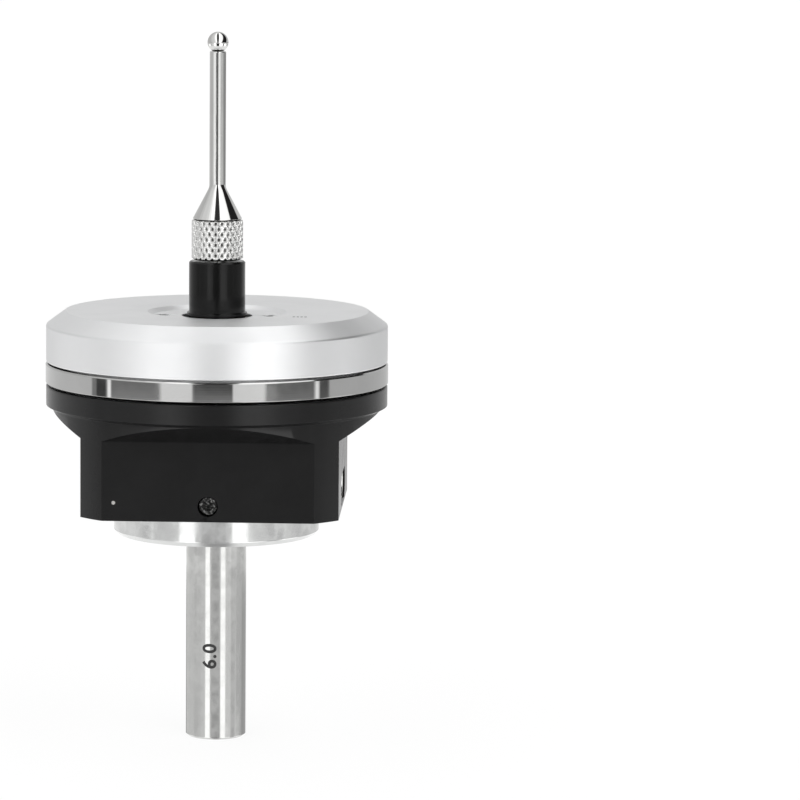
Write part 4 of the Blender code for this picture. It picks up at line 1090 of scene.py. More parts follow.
@dataclass
class Casing:
    """The black body, the polished ring and the satin cap."""

    shop: Workshop
    flat: float = 12.65 * MM
    flat_height: float = 7.8 * MM
    undercut_rise: float = 2.25 * MM
    corner_inset: float = 0.65 * MM
    floor: float = 3.0 * MM
    spigot_bore: float = 5.0 * MM
    board_ledge_radius: float = 9.9 * MM
    board_ledge_height: float = 0.6 * MM
    carrier_ledge_radius: float = 10.7 * MM
    carrier_ledge_height: float = 3.2 * MM
    bay_radius: float = 11.4 * MM
    body_edge: float = 0.12 * MM
    rim_edge: float = 0.02 * MM
    grub_height: float = 1.5 * MM
    grub_hole: float = 0.99 * MM
    case_circle: float = 14.3 * MM
    case_hole: float = 0.85 * MM
    case_counterbore: float = 1.55 * MM
    case_counterbore_depth: float = 1.5 * MM
    case_tap: float = 0.8 * MM
    case_tap_room: float = 0.2 * MM
    case_turn: float = 45.0
    board_screw_circle: float = 8.3 * MM
    board_screw_turn: float = 135.0
    board_screw_tap: float = 0.65 * MM
    board_screw_depth: float = 1.5 * MM
    pocket_width: float = 8.94 * MM
    pocket_height: float = 3.16 * MM
    pocket_end: float = 5.95 * MM
    pocket_rise: float = 1.9 * MM
    ring_gap: float = 0.2 * MM
    ring_chamfer: float = 0.12 * MM
    bevel_height: float = 1.4 * MM
    bevel_width: float = 1.9 * MM
    cap_edge: float = 0.1 * MM
    cap_spigot: float = 15.65 * MM
    cap_cavity: float = 12.9 * MM
    roof: float = 1.8 * MM
    cap_height: float = 5.0 * MM
    recess_radius: float = 6.93 * MM
    recess_depth: float = 0.5 * MM
    recess_slope: float = 0.6 * MM
    bore: float = 3.5 * MM
    dish_radius: float = 8.7 * MM
    dish_depth: float = 0.13 * MM
    seat_circle: float = 5.2 * MM
    seat_sink: float = 0.65 * MM
    seat_sink_depth: float = 0.5 * MM
    seat_hole: float = 0.45 * MM
    tick_place: tuple[float, float] = (8.5 * MM, -5.4 * MM)
    tick_size: tuple[float, float, float] = (0.24 * MM, 0.44 * MM, 0.008 * MM)
    tick_pitch: float = 0.38 * MM
    tick_count: int = 4
    chip_place: tuple[float, float] = (-9.2 * MM, 25.3 * MM)
    chip_radii: tuple[float, float] = (0.2 * MM, 0.16 * MM)
    chip_depth: float = 0.02 * MM
    chip_sides: int = 14
    chip_waves: tuple[tuple[float, float], ...] = ((0.14, 2.4), (0.18, 1.7))

    def build(self) -> None:
        """Build the casing's pieces."""
        self._body()
        self._ring()
        self._cap()
        self._ticks()
        self._chip()

    def _body(self) -> None:
        """The stepped shell, squared below, with its holes and the pocket for the port."""
        low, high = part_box("body_shell")
        radius = high.x
        floor = low.z + self.floor
        board = floor + self.board_ledge_height
        carrier = floor + self.carrier_ledge_height
        slope = self.undercut_rise / (radius - self.flat)
        rim = low.z + self.flat_height + self.undercut_rise
        corners = [
            Corner(self.bay_radius, high.z),
            Corner(radius, high.z, self.body_edge),
            Corner(radius, rim, self.rim_edge),
            Corner(radius - self.corner_inset, rim - self.corner_inset * slope, self.rim_edge),
            Corner(radius - self.corner_inset, low.z),
            Corner(self.spigot_bore, low.z),
            Corner(self.spigot_bore, floor),
            Corner(self.board_ledge_radius, floor),
            Corner(self.board_ledge_radius, board),
            Corner(self.carrier_ledge_radius, board),
            Corner(self.carrier_ledge_radius, carrier),
            Corner(self.bay_radius, carrier),
        ]
        piece = turned("body_casing", rounded(corners), Facets.BROAD)
        carve(piece, self._side_cutters(radius, low.z, slope))
        soften(piece, self.body_edge, segments=2, degrees=SLIGHT_ANGLE)
        carve(piece, self._body_holes(low.z, high.z))
        flatten(piece)
        self.shop.hand_over(piece, HOUSING, "black_body_finish", "body", ["body_shell"])

    def _side_cutters(self, radius: float, low: float, slope: float) -> list[bpy.types.Object]:
        """Four cutters that square the lower part and slope up to the round rim.

        Args:
            radius: the rim's radius.
            low: height of the body's underside.
            slope: rise of the undercut for each unit outwards.

        Returns:
            The cutters.
        """
        beyond = radius + 3.0 * PAST
        top = low + self.flat_height
        outline = [
            (self.flat, low - 3.0 * PAST),
            (beyond, low - 3.0 * PAST),
            (beyond, top + slope * (beyond - self.flat)),
            (self.flat, top),
        ]
        upright = Matrix.Rotation(math.pi / 2.0, 4, "X")
        cutters = []
        for index in range(4):
            turn = Matrix.Rotation(math.pi / 2.0 * index, 4, "Z")
            cutters.append(prism("side_cut_" + str(index), outline, 3.0 * radius, turn @ upright))
        return cutters

    def _body_holes(self, low: float, high: float) -> list[bpy.types.Object]:
        """Cutters for the screw holes and for the port's pocket.

        Args:
            low: height of the body's underside.
            high: height of its upper face.

        Returns:
            The cutters.
        """
        corners = quarters(self.case_circle, self.case_turn)
        sink = low + self.case_counterbore_depth
        height = low + self.grub_height
        span = (self.spigot_bore - PAST, high)
        grubs = [[polar(reach, angle, height) for reach in span] for angle in GRUB_ANGLES]
        floor = low + self.floor
        boards = quarters(self.board_screw_circle, self.board_screw_turn)[::2]
        taps = uprights(boards, floor - self.board_screw_depth, floor + PAST)
        outer = self.flat + PAST
        placing = facing_x((self.pocket_end + outer) / 2.0, low + self.pocket_rise)
        mouth = slot_outline(self.pocket_width, self.pocket_height)
        return [
            rods("case_holes", self.case_hole, uprights(corners, low - PAST, high + PAST)),
            rods("case_counterbores", self.case_counterbore, uprights(corners, low - PAST, sink)),
            rods("grub_holes", self.grub_hole, grubs),
            rods("board_taps", self.board_screw_tap, taps),
            prism("pocket", mouth, outer - self.pocket_end, placing),
        ]

    def _ring(self) -> None:
        """The polished ring, with a small chamfer at each outer edge."""
        low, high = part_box("spacer_ring")
        radius = high.x
        inner = self.cap_spigot + self.ring_gap
        edge = self.ring_chamfer * 0.4
        corners = [
            Corner(inner, high.z),
            Corner(radius - self.ring_chamfer, high.z, edge),
            Corner(radius, high.z - self.ring_chamfer, edge),
            Corner(radius, low.z + self.ring_chamfer, edge),
            Corner(radius - self.ring_chamfer, low.z, edge),
            Corner(inner, low.z),
        ]
        piece = turned("ring_band", rounded(corners), Facets.BROAD)
        self.shop.hand_over(piece, HOUSING, "polished_ring_steel", "ring", ["spacer_ring"])

    def _cap(self) -> None:
        """The cap: bevel outside, dished recess with four countersinks, spigot below."""
        low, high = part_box("cap")
        radius = high.x
        top = high.z
        bottom = top - self.cap_height
        floor = top - self.recess_depth
        roof = top - self.roof
        corners = [
            Corner(self.recess_radius, top - self.dish_depth, self.cap_edge),
            Corner(self.dish_radius, top, self.cap_edge * 2.0),
            Corner(radius - self.bevel_width, top, self.cap_edge * 2.0),
            Corner(radius, top - self.bevel_height, self.cap_edge * 3.0),
            Corner(radius, bottom, self.cap_edge),
            Corner(self.cap_spigot, bottom),
            Corner(self.cap_spigot, low.z, self.cap_edge),
            Corner(self.cap_cavity, low.z),
            Corner(self.cap_cavity, roof),
            Corner(self.bore, roof),
            Corner(self.bore, floor, self.cap_edge * 0.5),
            Corner(self.recess_radius - self.recess_slope, floor, self.cap_edge),
        ]
        piece = turned("cap_cover", rounded(corners), Facets.BROAD)
        seats = quarters(self.seat_circle, 0.0)
        cases = quarters(self.case_circle, self.case_turn)
        tap_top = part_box("case_screw_1")[1].z + self.case_tap_room
        carve(piece, [
            rods("seat_sinks", self.seat_sink, uprights(seats, floor - self.seat_sink_depth, top)),
            rods("seat_holes", self.seat_hole, uprights(seats, roof - PAST, top)),
            rods("case_taps", self.case_tap, uprights(cases, low.z - PAST, tap_top)),
        ])
        flatten(piece)
        self.shop.hand_over(piece, HOUSING, "satin_cap_metal", "cap", ["cap"])

    def _ticks(self) -> None:
        """A few plain ticks on the cap's flat, small and dark."""
        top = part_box("cap")[1].z
        x, y = self.tick_place
        builder = bmesh.new()
        for step in range(self.tick_count):
            middle = Vector((x + self.tick_pitch * (step - (self.tick_count - 1) / 2.0), y, top))
            made = bmesh.ops.create_cube(builder, size=1.0)["verts"]
            bmesh.ops.scale(builder, vec=self.tick_size, verts=made)
            bmesh.ops.translate(builder, vec=middle, verts=made)
        piece = link("cap_ticks", tidy_mesh(builder, "cap_ticks"))
        self.shop.hand_over(piece, HOUSING, "dark_marking", "cap")

    def _chip(self) -> None:
        """The small pale chip in the front face's finish, near its left corner."""
        x, z = self.chip_place
        builder = bmesh.new()
        low, high = self.chip_radii
        made = bmesh.ops.create_cone(
            builder, cap_ends=True, segments=self.chip_sides, radius1=low, radius2=high, depth=self.chip_depth
        )
        (wide, fast), (tall, slow) = self.chip_waves
        for index, vertex in enumerate(made["verts"]):
            vertex.co.x *= 1.0 + wide * math.sin(index * fast)
            vertex.co.y *= 1.0 + tall * math.cos(index * slow)
        turn = Matrix.Translation((x, -self.flat, z)) @ Matrix.Rotation(math.pi / 2.0, 4, "X")
        bmesh.ops.transform(builder, matrix=turn, verts=builder.verts)
        piece = link("finish_chip", tidy_mesh(builder, "finish_chip"))
        self.shop.hand_over(piece, HOUSING, "pale_chip", "body")


@dataclass
class Fasteners:
    """The screws that can be seen, each kind made once and copied on points."""

    shop: Workshop
    patterns: Patterns
    grub_key: float = 0.9 * MM
    grub_key_depth: float = 1.2 * MM
    grub_bevel: float = 0.1
    grub_cone: tuple[float, float] = (0.4, 0.7)
    case_key: float = 1.3 * MM
    case_thread: float = 0.75 * MM
    case_head: float = 1.3 * MM
    case_socket_floor: float = 0.4
    case_point: tuple[float, float] = (0.4, 0.6)
    seat_thread: float = 0.4 * MM
    seat_head: float = 0.4 * MM
    seat_cone: float = 0.75
    seat_slot: float = 0.25 * MM
    seat_slot_share: float = 0.55
    seat_lift: float = 0.2 * MM
    seat_turn: float = 40.0
    edge: float = 0.06 * MM

    def build(self) -> None:
        """Build the three sets of screws."""
        self._grubs()
        self._case_screws()
        self._seat_screws()

    def _set(self, kind: str, names: Sequence[str], corners: Sequence[Corner], cutter: bpy.types.Object,
             places: Sequence[Vector], turns: Sequence[Vector], finish: str, rounding: float = 0.0) -> None:
        """Make one screw, copy it to its places and hand the set over.

        Args:
            kind: the set's name.
            names: the nodes that the set stands for.
            corners: the screw's outline.
            cutter: what its head is cut with.
            places: where the copies go.
            turns: how each is turned.
            finish: the finish.
            rounding: width of its rounded edges, 0 for sharp ones.
        """
        screw = turned(kind + "_one", rounded(corners, closed=False), Facets.SCREW, closed=False)
        carve(screw, [cutter])
        if rounding > 0.0:
            soften(screw, rounding, segments=1, degrees=SOFT_ANGLE)
        piece = points_object(kind + "_set", places, turns)
        run_tree(piece, self.patterns.copies, {"Original": screw, "Finish": self.shop.finishes[finish]})
        bpy.data.objects.remove(screw, do_unlink=True)
        self.shop.hand_over(piece, HOUSING, finish, "screw", names)

    def _hex(self, key: float, low: float, high: float) -> bpy.types.Object:
        """Cutter for a hex socket.

        Args:
            key: width across the flats.
            low: height of the socket's floor.
            high: height where the cutter ends, above the head.

        Returns:
            The cutter.
        """
        across = key / math.cos(math.pi / 6.0) / 2.0
        return rods("hex_socket", across, uprights([Vector()], low, high), sides=6)

    def _grubs(self) -> None:
        """Set screws with a hex socket, their thread run out into a cone point."""
        low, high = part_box("grub_screw_left")
        length = high.x - low.x
        radius = (high.z - low.z) / 2.0
        height = (high.z + low.z) / 2.0
        corners = [
            Corner(0.0, length),
            Corner(radius * (1.0 - self.grub_bevel), length, self.edge),
            Corner(radius, length - radius * self.grub_bevel, self.edge),
            Corner(radius, radius * self.grub_cone[0], self.edge),
            Corner(radius * self.grub_cone[1], 0.0, self.edge),
            Corner(0.0, 0.0),
        ]
        cutter = self._hex(self.grub_key, length - self.grub_key_depth, length + radius)
        places = [polar(-high.x, angle, height) for angle in GRUB_ANGLES]
        turns = [Vector((0.0, math.pi / 2.0, math.radians(angle))) for angle in GRUB_ANGLES]
        names = ["grub_screw_" + side for side in ("front", "left", "back")]
        # The set screws' finish carries painted glints in its colour.
        self._set("grub_screw", names, corners, cutter, places, turns, "worn_grub_steel", self.edge * 0.5)

    def _case_screws(self) -> None:
        """Cap-head screws, seen from below in their counterbores."""
        names = numbered("case_screw_", 4)
        size = middle_of(names[0])[1]
        head, thread = self.case_head, self.case_thread
        length = size.z - head
        corners = [
            Corner(0.0, head),
            Corner(size.x / 2.0, head, self.edge * 3.0),
            Corner(size.x / 2.0, 0.0, self.edge),
            Corner(thread, 0.0),
            Corner(thread, -length + thread * self.case_point[0]),
            Corner(thread * self.case_point[1], -length),
            Corner(0.0, -length),
        ]
        cutter = self._hex(self.case_key, head * self.case_socket_floor, head * 2.0)
        places = [middle_of(name)[0] + Vector((0.0, 0.0, head - size.z / 2.0)) for name in names]
        turns = [Vector((math.pi, 0.0, 0.0))] * 4
        self._set("case_screw", names, corners, cutter, places, turns, "blackened_screw_steel")

    def _seat_screws(self) -> None:
        """Flat-head screws in the cap's recess, slotted, each left at its own angle."""
        names = numbered("seat_screw_", 4)
        size = middle_of(names[0])[1]
        head, thread = self.seat_head, self.seat_thread
        corners = [
            Corner(0.0, 0.0),
            Corner(size.x / 2.0, 0.0, self.edge),
            Corner(size.x / 2.0, -head * self.seat_cone),
            Corner(thread, -head),
            Corner(thread, -size.z),
            Corner(0.0, -size.z),
        ]
        reach = Vector((size.x, self.seat_slot / 2.0, head))
        cutter = block("seat_slot", Vector((-reach.x, -reach.y, -head * self.seat_slot_share)), reach)
        places = [middle_of(name)[0] + Vector((0.0, 0.0, size.z / 2.0 + self.seat_lift)) for name in names]
        turns = [Vector((0.0, 0.0, math.radians(90.0 * index + self.seat_turn))) for index in range(4)]
        self._set("seat_screw", names, corners, cutter, places, turns, "blackened_screw_steel")


@dataclass
class Port:
    """The socket for the lead: shell, tongue and contacts."""

    shop: Workshop
    patterns: Patterns
    wall: float = 0.2 * MM
    back_wall: float = 0.4 * MM
    edge: float = 0.05 * MM
    contact_count: int = 12
    contact_pitch: float = 0.5 * MM
    contact_width: float = 0.25 * MM
    contact_length: float = 3.2 * MM
    contact_thickness: float = 0.03 * MM
    contact_end: float = 0.5 * MM
    base_half_width: float = 3.1 * MM
    base_depth: float = 1.0 * MM
    blade_start: float = 0.5 * MM
    blade_half: float = 0.35 * MM

    def build(self) -> None:
        """Build the port's three pieces."""
        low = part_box("usb_shell")[0]
        middle, size = middle_of("usb_shell")
        shell = prism("port_shell", slot_outline(size.y, size.z), size.x, facing_x(middle.x, middle.z))
        inner = slot_outline(size.y - 2.0 * self.wall, size.z - 2.0 * self.wall)
        reach = size.x - self.back_wall + PAST
        inside = facing_x(low.x + self.back_wall + reach / 2.0, middle.z)
        carve(shell, [prism("hollow", inner, reach, inside)])
        soften(shell, self.edge, segments=2, degrees=SOFT_ANGLE)
        self.shop.hand_over(shell, HOUSING, "bright_port_steel", "socket_shell", ["usb_shell"])
        self._tongue()

    def _tongue(self) -> None:
        """The tongue on its base, and a row of contacts on each side of it."""
        low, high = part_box("usb_tongue")
        middle = (low + high) / 2.0
        half, side = self.blade_half, self.base_half_width
        base_end = Vector((low.x + self.base_depth, side, high.z))
        base = block("port_tongue", Vector((low.x, -side, low.z)), base_end)
        start = Vector((low.x + self.blade_start, low.y, middle.z - half))
        carve(base, [block("blade", start, Vector((high.x, high.y, middle.z + half)))], "UNION")
        soften(base, self.edge, segments=2, degrees=SOFT_ANGLE)
        self.shop.hand_over(base, HOUSING, "port_plastic", "socket_tongue", ["usb_tongue"])

        size = Vector((self.contact_length, self.contact_width, self.contact_thickness))
        contact = block("contact", -size / 2.0, size / 2.0)
        away = high.x - self.contact_length / 2.0 - self.contact_end
        first = -(self.contact_count - 1) / 2.0
        steps = [(first + index) * self.contact_pitch for index in range(self.contact_count)]
        places = [Vector((away, across, middle.z + lift)) for lift in (-half, half) for across in steps]
        piece = points_object("port_contacts", places, [Vector()] * len(places))
        material = self.shop.finishes["gold_contact"]
        run_tree(piece, self.patterns.copies, {"Original": contact, "Finish": material})
        bpy.data.objects.remove(contact, do_unlink=True)
        self.shop.hand_over(piece, HOUSING, "gold_contact", "board_screw")


@dataclass
class StylusGroup:
    """The sleeve, the knurled stylus and its ball."""

    shop: Workshop
    patterns: Patterns
    stud_radius: float = 0.95 * MM
    collar_height: float = 4.1 * MM
    cone_base: float = 2.45 * MM
    cone_height: float = 3.1 * MM
    stem: float = 0.81 * MM
    stem_fillet: float = 1.2 * MM
    stud_length: float = 4.3 * MM
    stud_gap: float = 0.05 * MM
    stud_room: float = 0.1 * MM
    pin: float = 0.35 * MM
    neck_gap: float = 0.2 * MM
    neck_slope: float = 0.75
    knurl_depth: float = 0.27 * MM
    knurl_columns: int = 24
    knurl_rows: float = 3.8
    knurl_ridge: float = 0.06
    knurl_lines: int = 90
    knurl_band: float = 0.6 * MM
    knurl_inset: float = 0.06 * MM
    knurl_root: float = 1.1
    shoulder: float = 0.02 * MM
    edge: float = 0.06 * MM
    sleeve_chamfer: float = 0.15 * MM
    sleeve_radius: float = 2.8 * MM
    sleeve_collar_height: float = 0.35 * MM
    sleeve_hole: float = 1.2 * MM
    sleeve_hole_depth: float = 2.1 * MM
    recess_depth: float = 0.5 * MM
    ball_steps: int = 40
    ball_bore: float = 0.2

    def build(self) -> None:
        """Build the three pieces."""
        self._sleeve()
        self._stylus()
        self._ball()

    def _sleeve(self) -> None:
        """The black sleeve with its small collar at the cap."""
        low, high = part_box("sleeve")
        collar_radius = high.x
        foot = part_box("cap")[1].z - self.recess_depth
        foot_top = foot + self.sleeve_collar_height
        stud_hole = self.stud_radius + self.stud_gap
        stud_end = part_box("stylus")[0].z - self.stud_room
        hole_top = low.z + self.sleeve_hole_depth
        corners = [
            Corner(0.0, stud_end),
            Corner(stud_hole, stud_end),
            Corner(stud_hole, high.z),
            Corner(self.sleeve_radius - self.sleeve_chamfer, high.z, self.edge),
            Corner(self.sleeve_radius, high.z - self.sleeve_chamfer, self.edge),
            Corner(self.sleeve_radius, foot_top, self.edge),
            Corner(collar_radius, foot_top, self.edge),
            Corner(collar_radius, foot, self.edge),
            Corner(self.sleeve_radius, foot),
            Corner(self.sleeve_radius, low.z),
            Corner(self.sleeve_hole, low.z),
            Corner(self.sleeve_hole, hole_top),
            Corner(0.0, hole_top),
        ]
        piece = turned("sleeve_tube", rounded(corners, closed=False), Facets.MIDDLE, closed=False)
        self.shop.hand_over(piece, STYLUS_SIDE, "black_sleeve_finish", "sleeve", ["sleeve"])

    def _stylus(self) -> None:
        """Stud, cone and stem in one turned piece, with the knurled band round it."""
        low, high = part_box("stylus")
        radius = high.x
        bottom = low.z + self.stud_length
        top = bottom + self.collar_height
        tip_radius, tip_centre = self._tip()
        neck = math.sqrt(tip_radius**2 - self.stem**2)
        stem_top = tip_centre - neck - self.neck_gap
        upper = rounded([
            Corner(0.0, high.z),
            Corner(self.pin, high.z),
            Corner(self.pin, stem_top - (self.stem - self.pin) * self.neck_slope),
            Corner(self.stem, stem_top, self.edge),
            Corner(self.stem, top + self.cone_height, self.stem_fillet),
            Corner(self.cone_base, top, self.edge * 0.5),
            Corner(radius - self.knurl_depth * self.knurl_root, top - self.shoulder),
        ], closed=False)
        inset = self.knurl_inset
        step = (self.collar_height - 2.0 * inset) / self.knurl_lines
        collar = [(radius, top - inset - step * line) for line in range(self.knurl_lines + 1)]
        lower = rounded([
            Corner(radius - self.knurl_depth * self.knurl_root, bottom + self.shoulder),
            Corner(radius - self.knurl_depth * 2.0, bottom),
            Corner(self.stud_radius, bottom),
            Corner(self.stud_radius, low.z, self.edge),
            Corner(0.0, low.z),
        ], closed=False)
        core = [(radius - self.knurl_band, top - inset), (radius - self.knurl_band, bottom + inset)]
        rod = turned("stylus_rod", upper + core + lower, Facets.MIDDLE, closed=False)
        self.shop.hand_over(rod, STYLUS_SIDE, "polished_stylus_steel", "stylus", ["stylus"])
        piece = turned("stylus_knurl", collar + core[::-1], Facets.KNURLED, closed=True)
        run_tree(piece, self.patterns.knurl, {
            "Bottom": bottom + inset,
            "Top": top - inset,
            "Radius": radius,
            "Depth": self.knurl_depth,
            "Ridge": self.knurl_ridge,
            "Columns": self.knurl_columns,
            "Rows": self.knurl_rows,
            "Finish": self.shop.finishes["knurled_stylus_steel"],
        })
        self.shop.hand_over(piece, STYLUS_SIDE, "knurled_stylus_steel", "stylus")

    def _tip(self) -> tuple[float, float]:
        """Radius and centre height of the ball, from its node."""
        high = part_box("stylus_ball")[1]
        return high.x, high.z - high.x

    def _ball(self) -> None:
        """The ball, bored for the stem's pin."""
        radius, centre = self._tip()
        bore = self.pin + self.stud_gap
        sweep = math.pi - math.asin(bore / radius)
        angles = [sweep * step / self.ball_steps for step in range(self.ball_steps + 1)]
        points = [(radius * math.sin(angle), centre + radius * math.cos(angle)) for angle in angles]
        roof = centre - radius * self.ball_bore + self.stud_room
        points += [(bore, roof), (0.0, roof)]
        piece = turned("tip_ball", points, Facets.SMALL, closed=False)
        self.shop.hand_over(piece, STYLUS_SIDE, "polished_stylus_steel", "stylus", ["stylus_ball"])


@dataclass
class Mechanism:
    """What is inside: the spring, and the frame's own pieces in better finishes."""

    shop: Workshop
    patterns: Patterns
    wire: float = 0.4 * MM
    turns: float = 4.0
    plunge: float = 2.0 * MM

    def build(self) -> None:
        """Build the spring and dress the rest."""
        self._spring()
        rollers = [name + side for name in numbered("seat_roller_", 3) for side in "ab"]
        for finish, names in (
            ("bright_ball_steel", rollers + numbered("contact_ball_", 3)),
            ("machined_brass", ["spider", *numbered("board_screw_", 2)]),
            ("turned_flange_metal", ["carrier_plate"]),
            ("drawn_spring_wire", ["retaining_washer"]),
            ("blackened_screw_steel", ["retaining_screw", "hub_screw"]),
            ("black_body_finish", ["seat_ring"]),
            ("board_lacquer", ["main_board"]),
            ("chip_plastic", ["driver_chip"]),
            ("red_wire_cover", numbered("lead_wire_", 2)),
        ):
            self.shop.redress(finish, names)

    def _spring(self) -> None:
        """The return spring, which moves as one piece with the plunger frame."""
        low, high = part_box("return_spring")
        piece = link("spring_coil", bpy.data.meshes.new("spring_coil"))
        run_tree(piece, self.patterns.coil, {
            "Turns": self.turns,
            "Radius": high.x - self.wire,
            "Rise": high.z - low.z - 2.0 * self.wire,
            "Wire": self.wire,
            "Finish": self.shop.finishes["drawn_spring_wire"],
        })
        piece.data.transform(Matrix.Translation((0.0, 0.0, low.z + self.wire)))
        self.shop.hand_over(piece, PLUNGER, "drawn_spring_wire", "spring", ["return_spring"])
        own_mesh(piece)


@dataclass(frozen=True)
class Belt:
    """One belt of the surroundings, between two heights above the horizon.

    Args:
        start: elevation in degrees where the belt below begins to give way.
        full: elevation where this belt has taken over.
        blur: half the width of the soft edge between two bands, in degrees.
        bands: where each soft box or card starts, in degrees from the camera, and its brightness.
        over: whether the bands run on over the top, where azimuths alone would draw them to a point.
        leaning: whether start and full are the lean of a mirror that shows the direction, not its elevation.
    """

    start: float
    full: float
    blur: float
    bands: tuple[tuple[float, float], ...]
    over: bool = False
    leaning: bool = False


TABLE_SIDE = (
    (-180.0, 0.8), (-128.0, 1.7), (-95.0, 0.7), (-72.0, 1.0), (-48.0, 2.2), (-19.0, 0.03), (17.0, 2.4),
    (59.0, 0.2), (79.0, 2.8), (108.0, 0.7),
)
SKY_SIDE = (
    (-180.0, 0.68), (-128.0, 0.66), (-75.0, 0.78), (-58.0, 0.9), (-35.0, 1.0), (-26.0, 1.35), (-18.0, 1.95),
    (-8.8, 0.04), (7.7, 2.0), (22.0, 1.6), (33.0, 1.5), (41.5, 0.02), (104.0, 0.7),
)
BELTS = (
    Belt(-90.0, -90.0, 1.0, ((-180.0, 0.4),)),
    Belt(-80.0, -75.0, 1.2, ((-180.0, 1.15),)),
    Belt(-0.35, -0.3, 1.2, TABLE_SIDE, leaning=True),
    Belt(-13.5, -12.5, 0.8, (
        (-180.0, 0.52), (-150.0, 0.84), (-60.0, 0.9), (-41.5, 1.8), (-23.0, 0.74), (17.0, 1.8), (36.5, 0.92),
        (60.0, 0.8), (85.0, 0.66), (118.0, 0.5),
    )),
    Belt(-9.7, -9.3, 0.8, (
        (-180.0, 1.0), (-90.0, 1.05), (-42.0, 1.8), (-24.0, 0.76), (17.8, 1.8), (35.5, 1.15), (60.0, 1.0),
        (85.0, 0.9),
    )),
    Belt(-8.4, -8.0, 0.6, (
        (-180.0, 0.78), (-92.0, 0.3), (-88.0, 0.08), (-78.4, 1.5), (-75.2, 0.5), (-38.0, 1.1), (-15.9, 0.45),
        (10.5, 1.1), (32.5, 0.42), (69.0, 1.5), (72.0, 0.2), (80.5, 0.66),
    )),
    Belt(-7.32, -7.22, 0.6, (
        (-180.0, 0.8), (-92.0, 0.3), (-88.0, 0.06), (-78.4, 1.5), (-75.2, 0.22), (-38.0, 1.08), (-15.9, 0.09),
        (10.5, 1.08), (32.5, 0.16), (69.0, 1.5), (72.0, 0.1), (80.5, 0.66),
    )),
    Belt(-6.7, -6.3, 1.2, (
        (-180.0, 0.6), (-41.0, 3.0), (-18.0, 0.05), (13.0, 3.0), (41.0, 0.6), (120.0, 1.0),
    )),
    Belt(-5.2, -4.9, 1.2, (
        (-180.0, 0.74), (-115.0, 0.66), (-72.0, 0.92), (-56.0, 1.35), (-28.0, 0.16), (7.0, 1.2), (32.0, 0.9),
        (47.0, 0.76), (80.0, 0.5), (100.0, 0.33), (150.0, 0.5),
    )),
    Belt(-2.6, -2.0, 1.0, SKY_SIDE, over=True),
)


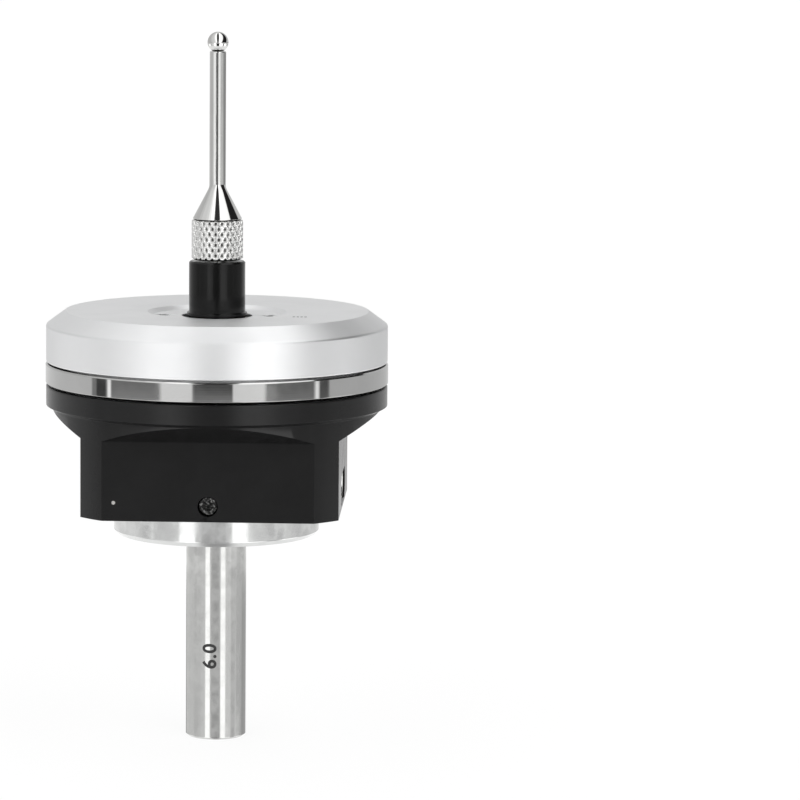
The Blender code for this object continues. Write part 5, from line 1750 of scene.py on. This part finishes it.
@dataclass
class Studio:
    """White surroundings with soft boxes, a pale floor and the camera."""

    azimuth: float = 3.9
    distance: float = 450.0 * MM
    camera_height: float = 91.5 * MM
    aim_height: float = 34.65 * MM
    lens: float = 204.75
    shift: tuple[float, float] = (0.229, -0.0095)
    roll: float = 0.2
    floor_size: float = 8.0
    floor_glow: float = 1.04
    floor_glow_share: float = 0.86
    floor_grey: float = 0.9
    tip_sight: float = 0.049
    least_spread: float = 0.05
    sensor: float = 36.0
    clip: tuple[float, float] = (0.01, 20.0)

    def build(self) -> None:
        """Build the world, the floor and the camera."""
        self._world()
        self._floor()
        self._camera()

    def _camera(self) -> None:
        """The camera, a little to the right of the front face and above the cap."""
        data = bpy.data.cameras.new("camera")
        data.lens = self.lens
        data.sensor_width = self.sensor
        data.shift_x, data.shift_y = self.shift
        data.clip_start, data.clip_end = self.clip
        camera = link("camera", data)
        camera.location = polar(self.distance, self.azimuth - 90.0, self.camera_height)
        aim = Vector((0.0, 0.0, self.aim_height)) - camera.location
        turn = aim.to_track_quat("-Z", "Y").to_matrix().to_4x4()
        turn = turn @ Matrix.Rotation(math.radians(self.roll), 4, "Z")
        camera.rotation_euler = turn.to_euler()
        bpy.context.scene.camera = camera

    def _floor(self) -> None:
        """A pale floor under the shank's end, which keeps a faint shadow."""
        builder = bmesh.new()
        bmesh.ops.create_grid(builder, x_segments=1, y_segments=1, size=self.floor_size / 2.0)
        mesh = bpy.data.meshes.new("floor")
        builder.to_mesh(mesh)
        builder.free()
        floor = link("floor", mesh)
        floor.visible_glossy = False
        material = bpy.data.materials.new("pale_floor")
        material.use_nodes = True
        graph = Graph(material.node_tree)
        lit = graph.add("ShaderNodeBsdfDiffuse", {"Color": (*[self.floor_grey] * 3, 1.0)})
        white = graph.add("ShaderNodeEmission", {"Strength": self.floor_glow})
        self._by_camera(graph, "ShaderNodeOutputMaterial", self.floor_glow_share, lit, white)
        mesh.materials.append(material)

    def _by_camera(
        self, graph: Graph, output: str, share: float, other: bpy.types.Node, camera: bpy.types.Node
    ) -> None:
        """End a tree in one shader for the camera and another for everything else.

        Args:
            graph: the tree's graph.
            output: type of the tree's last node.
            share: how much of the camera's own shader it sees.
            other: the shader for everything else.
            camera: the shader for the camera.
        """
        seen = graph.math("MULTIPLY", graph.add("ShaderNodeLightPath").outputs["Is Camera Ray"], share)
        mixed = {0: seen, 1: other.outputs[0], 2: camera.outputs[0]}
        graph.add(output, {"Surface": graph.add("ShaderNodeMixShader", mixed).outputs[0]})

    def _ramp(self, graph: Graph, around: bpy.types.NodeSocket, belt: Belt) -> bpy.types.NodeSocket:
        """Brightness of one belt by direction, as a colour ramp.

        Args:
            graph: the world's graph.
            around: the direction round the object, from 0 to 1, with 0.5 towards the camera.
            belt: the belt.

        Returns:
            The socket of the brightness.
        """
        ramp = graph.add("ShaderNodeValToRGB", {0: around})
        elements = ramp.color_ramp.elements
        ramp.color_ramp.interpolation = "LINEAR"
        blur = belt.blur / 360.0
        stops: list[tuple[float, float]] = []
        level_before = belt.bands[-1][1]
        for degrees, level in belt.bands:
            place = 0.5 + degrees / 360.0
            stops.append((max(place - blur, 0.0), level_before))
            stops.append((min(place + blur, 1.0), level))
            level_before = level
        while len(elements) < len(stops):
            elements.new(0.5)
        for element, (place, level) in zip(elements, stops):
            element.position = place
            element.color = (*[level / RAMP_RANGE] * 3, 1.0)
        return graph.math("MULTIPLY", ramp.outputs["Color"], RAMP_RANGE)

    def _world(self) -> None:
        """White to the camera; soft boxes, cards and a bright table to everything else."""
        world = bpy.data.worlds.new("studio")
        bpy.context.scene.world = world
        world.use_nodes = True
        graph = Graph(world.node_tree)
        way = graph.add("ShaderNodeTexCoord").outputs["Generated"]
        x, y, z = graph.add("ShaderNodeSeparateXYZ", {0: way}).outputs
        turn = math.radians(self.azimuth)
        shares = (math.cos(turn), math.sin(turn))
        (x_cos, x_sin), (y_cos, y_sin) = (
            [graph.math("MULTIPLY", axis, share) for share in shares] for axis in (x, y)
        )
        right = graph.math("ADD", x_cos, y_sin)
        front = graph.math("SUBTRACT", x_sin, y_cos)
        lofty = graph.math("ADD", front, graph.math("MAXIMUM", z, 0.0))
        around, over = (
            graph.math("ADD", graph.math("DIVIDE", graph.math("ARCTAN2", right, ahead), math.tau), 0.5)
            for ahead in (front, lofty)
        )
        spread = graph.math("SQRT", graph.math("MULTIPLY_ADD", front, 2.0, 2.0))
        spread = graph.math("MAXIMUM", spread, self.least_spread)
        lean = graph.math("DIVIDE", graph.math("ADD", z, self.tip_sight), spread)
        rise = graph.math("MULTIPLY", graph.math("ARCSINE", z), 180.0 / math.pi)
        level = self._ramp(graph, around, BELTS[0])
        for belt in BELTS[1:]:
            bands = self._ramp(graph, over if belt.over else around, belt)
            height = lean if belt.leaning else rise
            level = graph.between(graph.ease(height, belt.start, belt.full), level, bands)
        studio = graph.add("ShaderNodeBackground", {"Color": level})
        white = graph.add("ShaderNodeBackground", {"Color": (1.0, 1.0, 1.0, 1.0)})
        self._by_camera(graph, "ShaderNodeOutputWorld", 1.0, studio, white)


def main() -> None:
    """Load the frame and build every class in order."""
    logging.basicConfig(level=logging.INFO, format="%(name)s: %(message)s")
    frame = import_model()
    bpy.context.scene.view_settings.view_transform = "Standard"
    Studio().build()
    shop = Workshop(frame["nodes"])
    patterns = Patterns()
    ShankAndFlange(shop).build()
    Casing(shop).build()
    Fasteners(shop, patterns).build()
    Port(shop, patterns).build()
    StylusGroup(shop, patterns).build()
    Mechanism(shop, patterns).build()


if __name__ == "__main__":
    main()
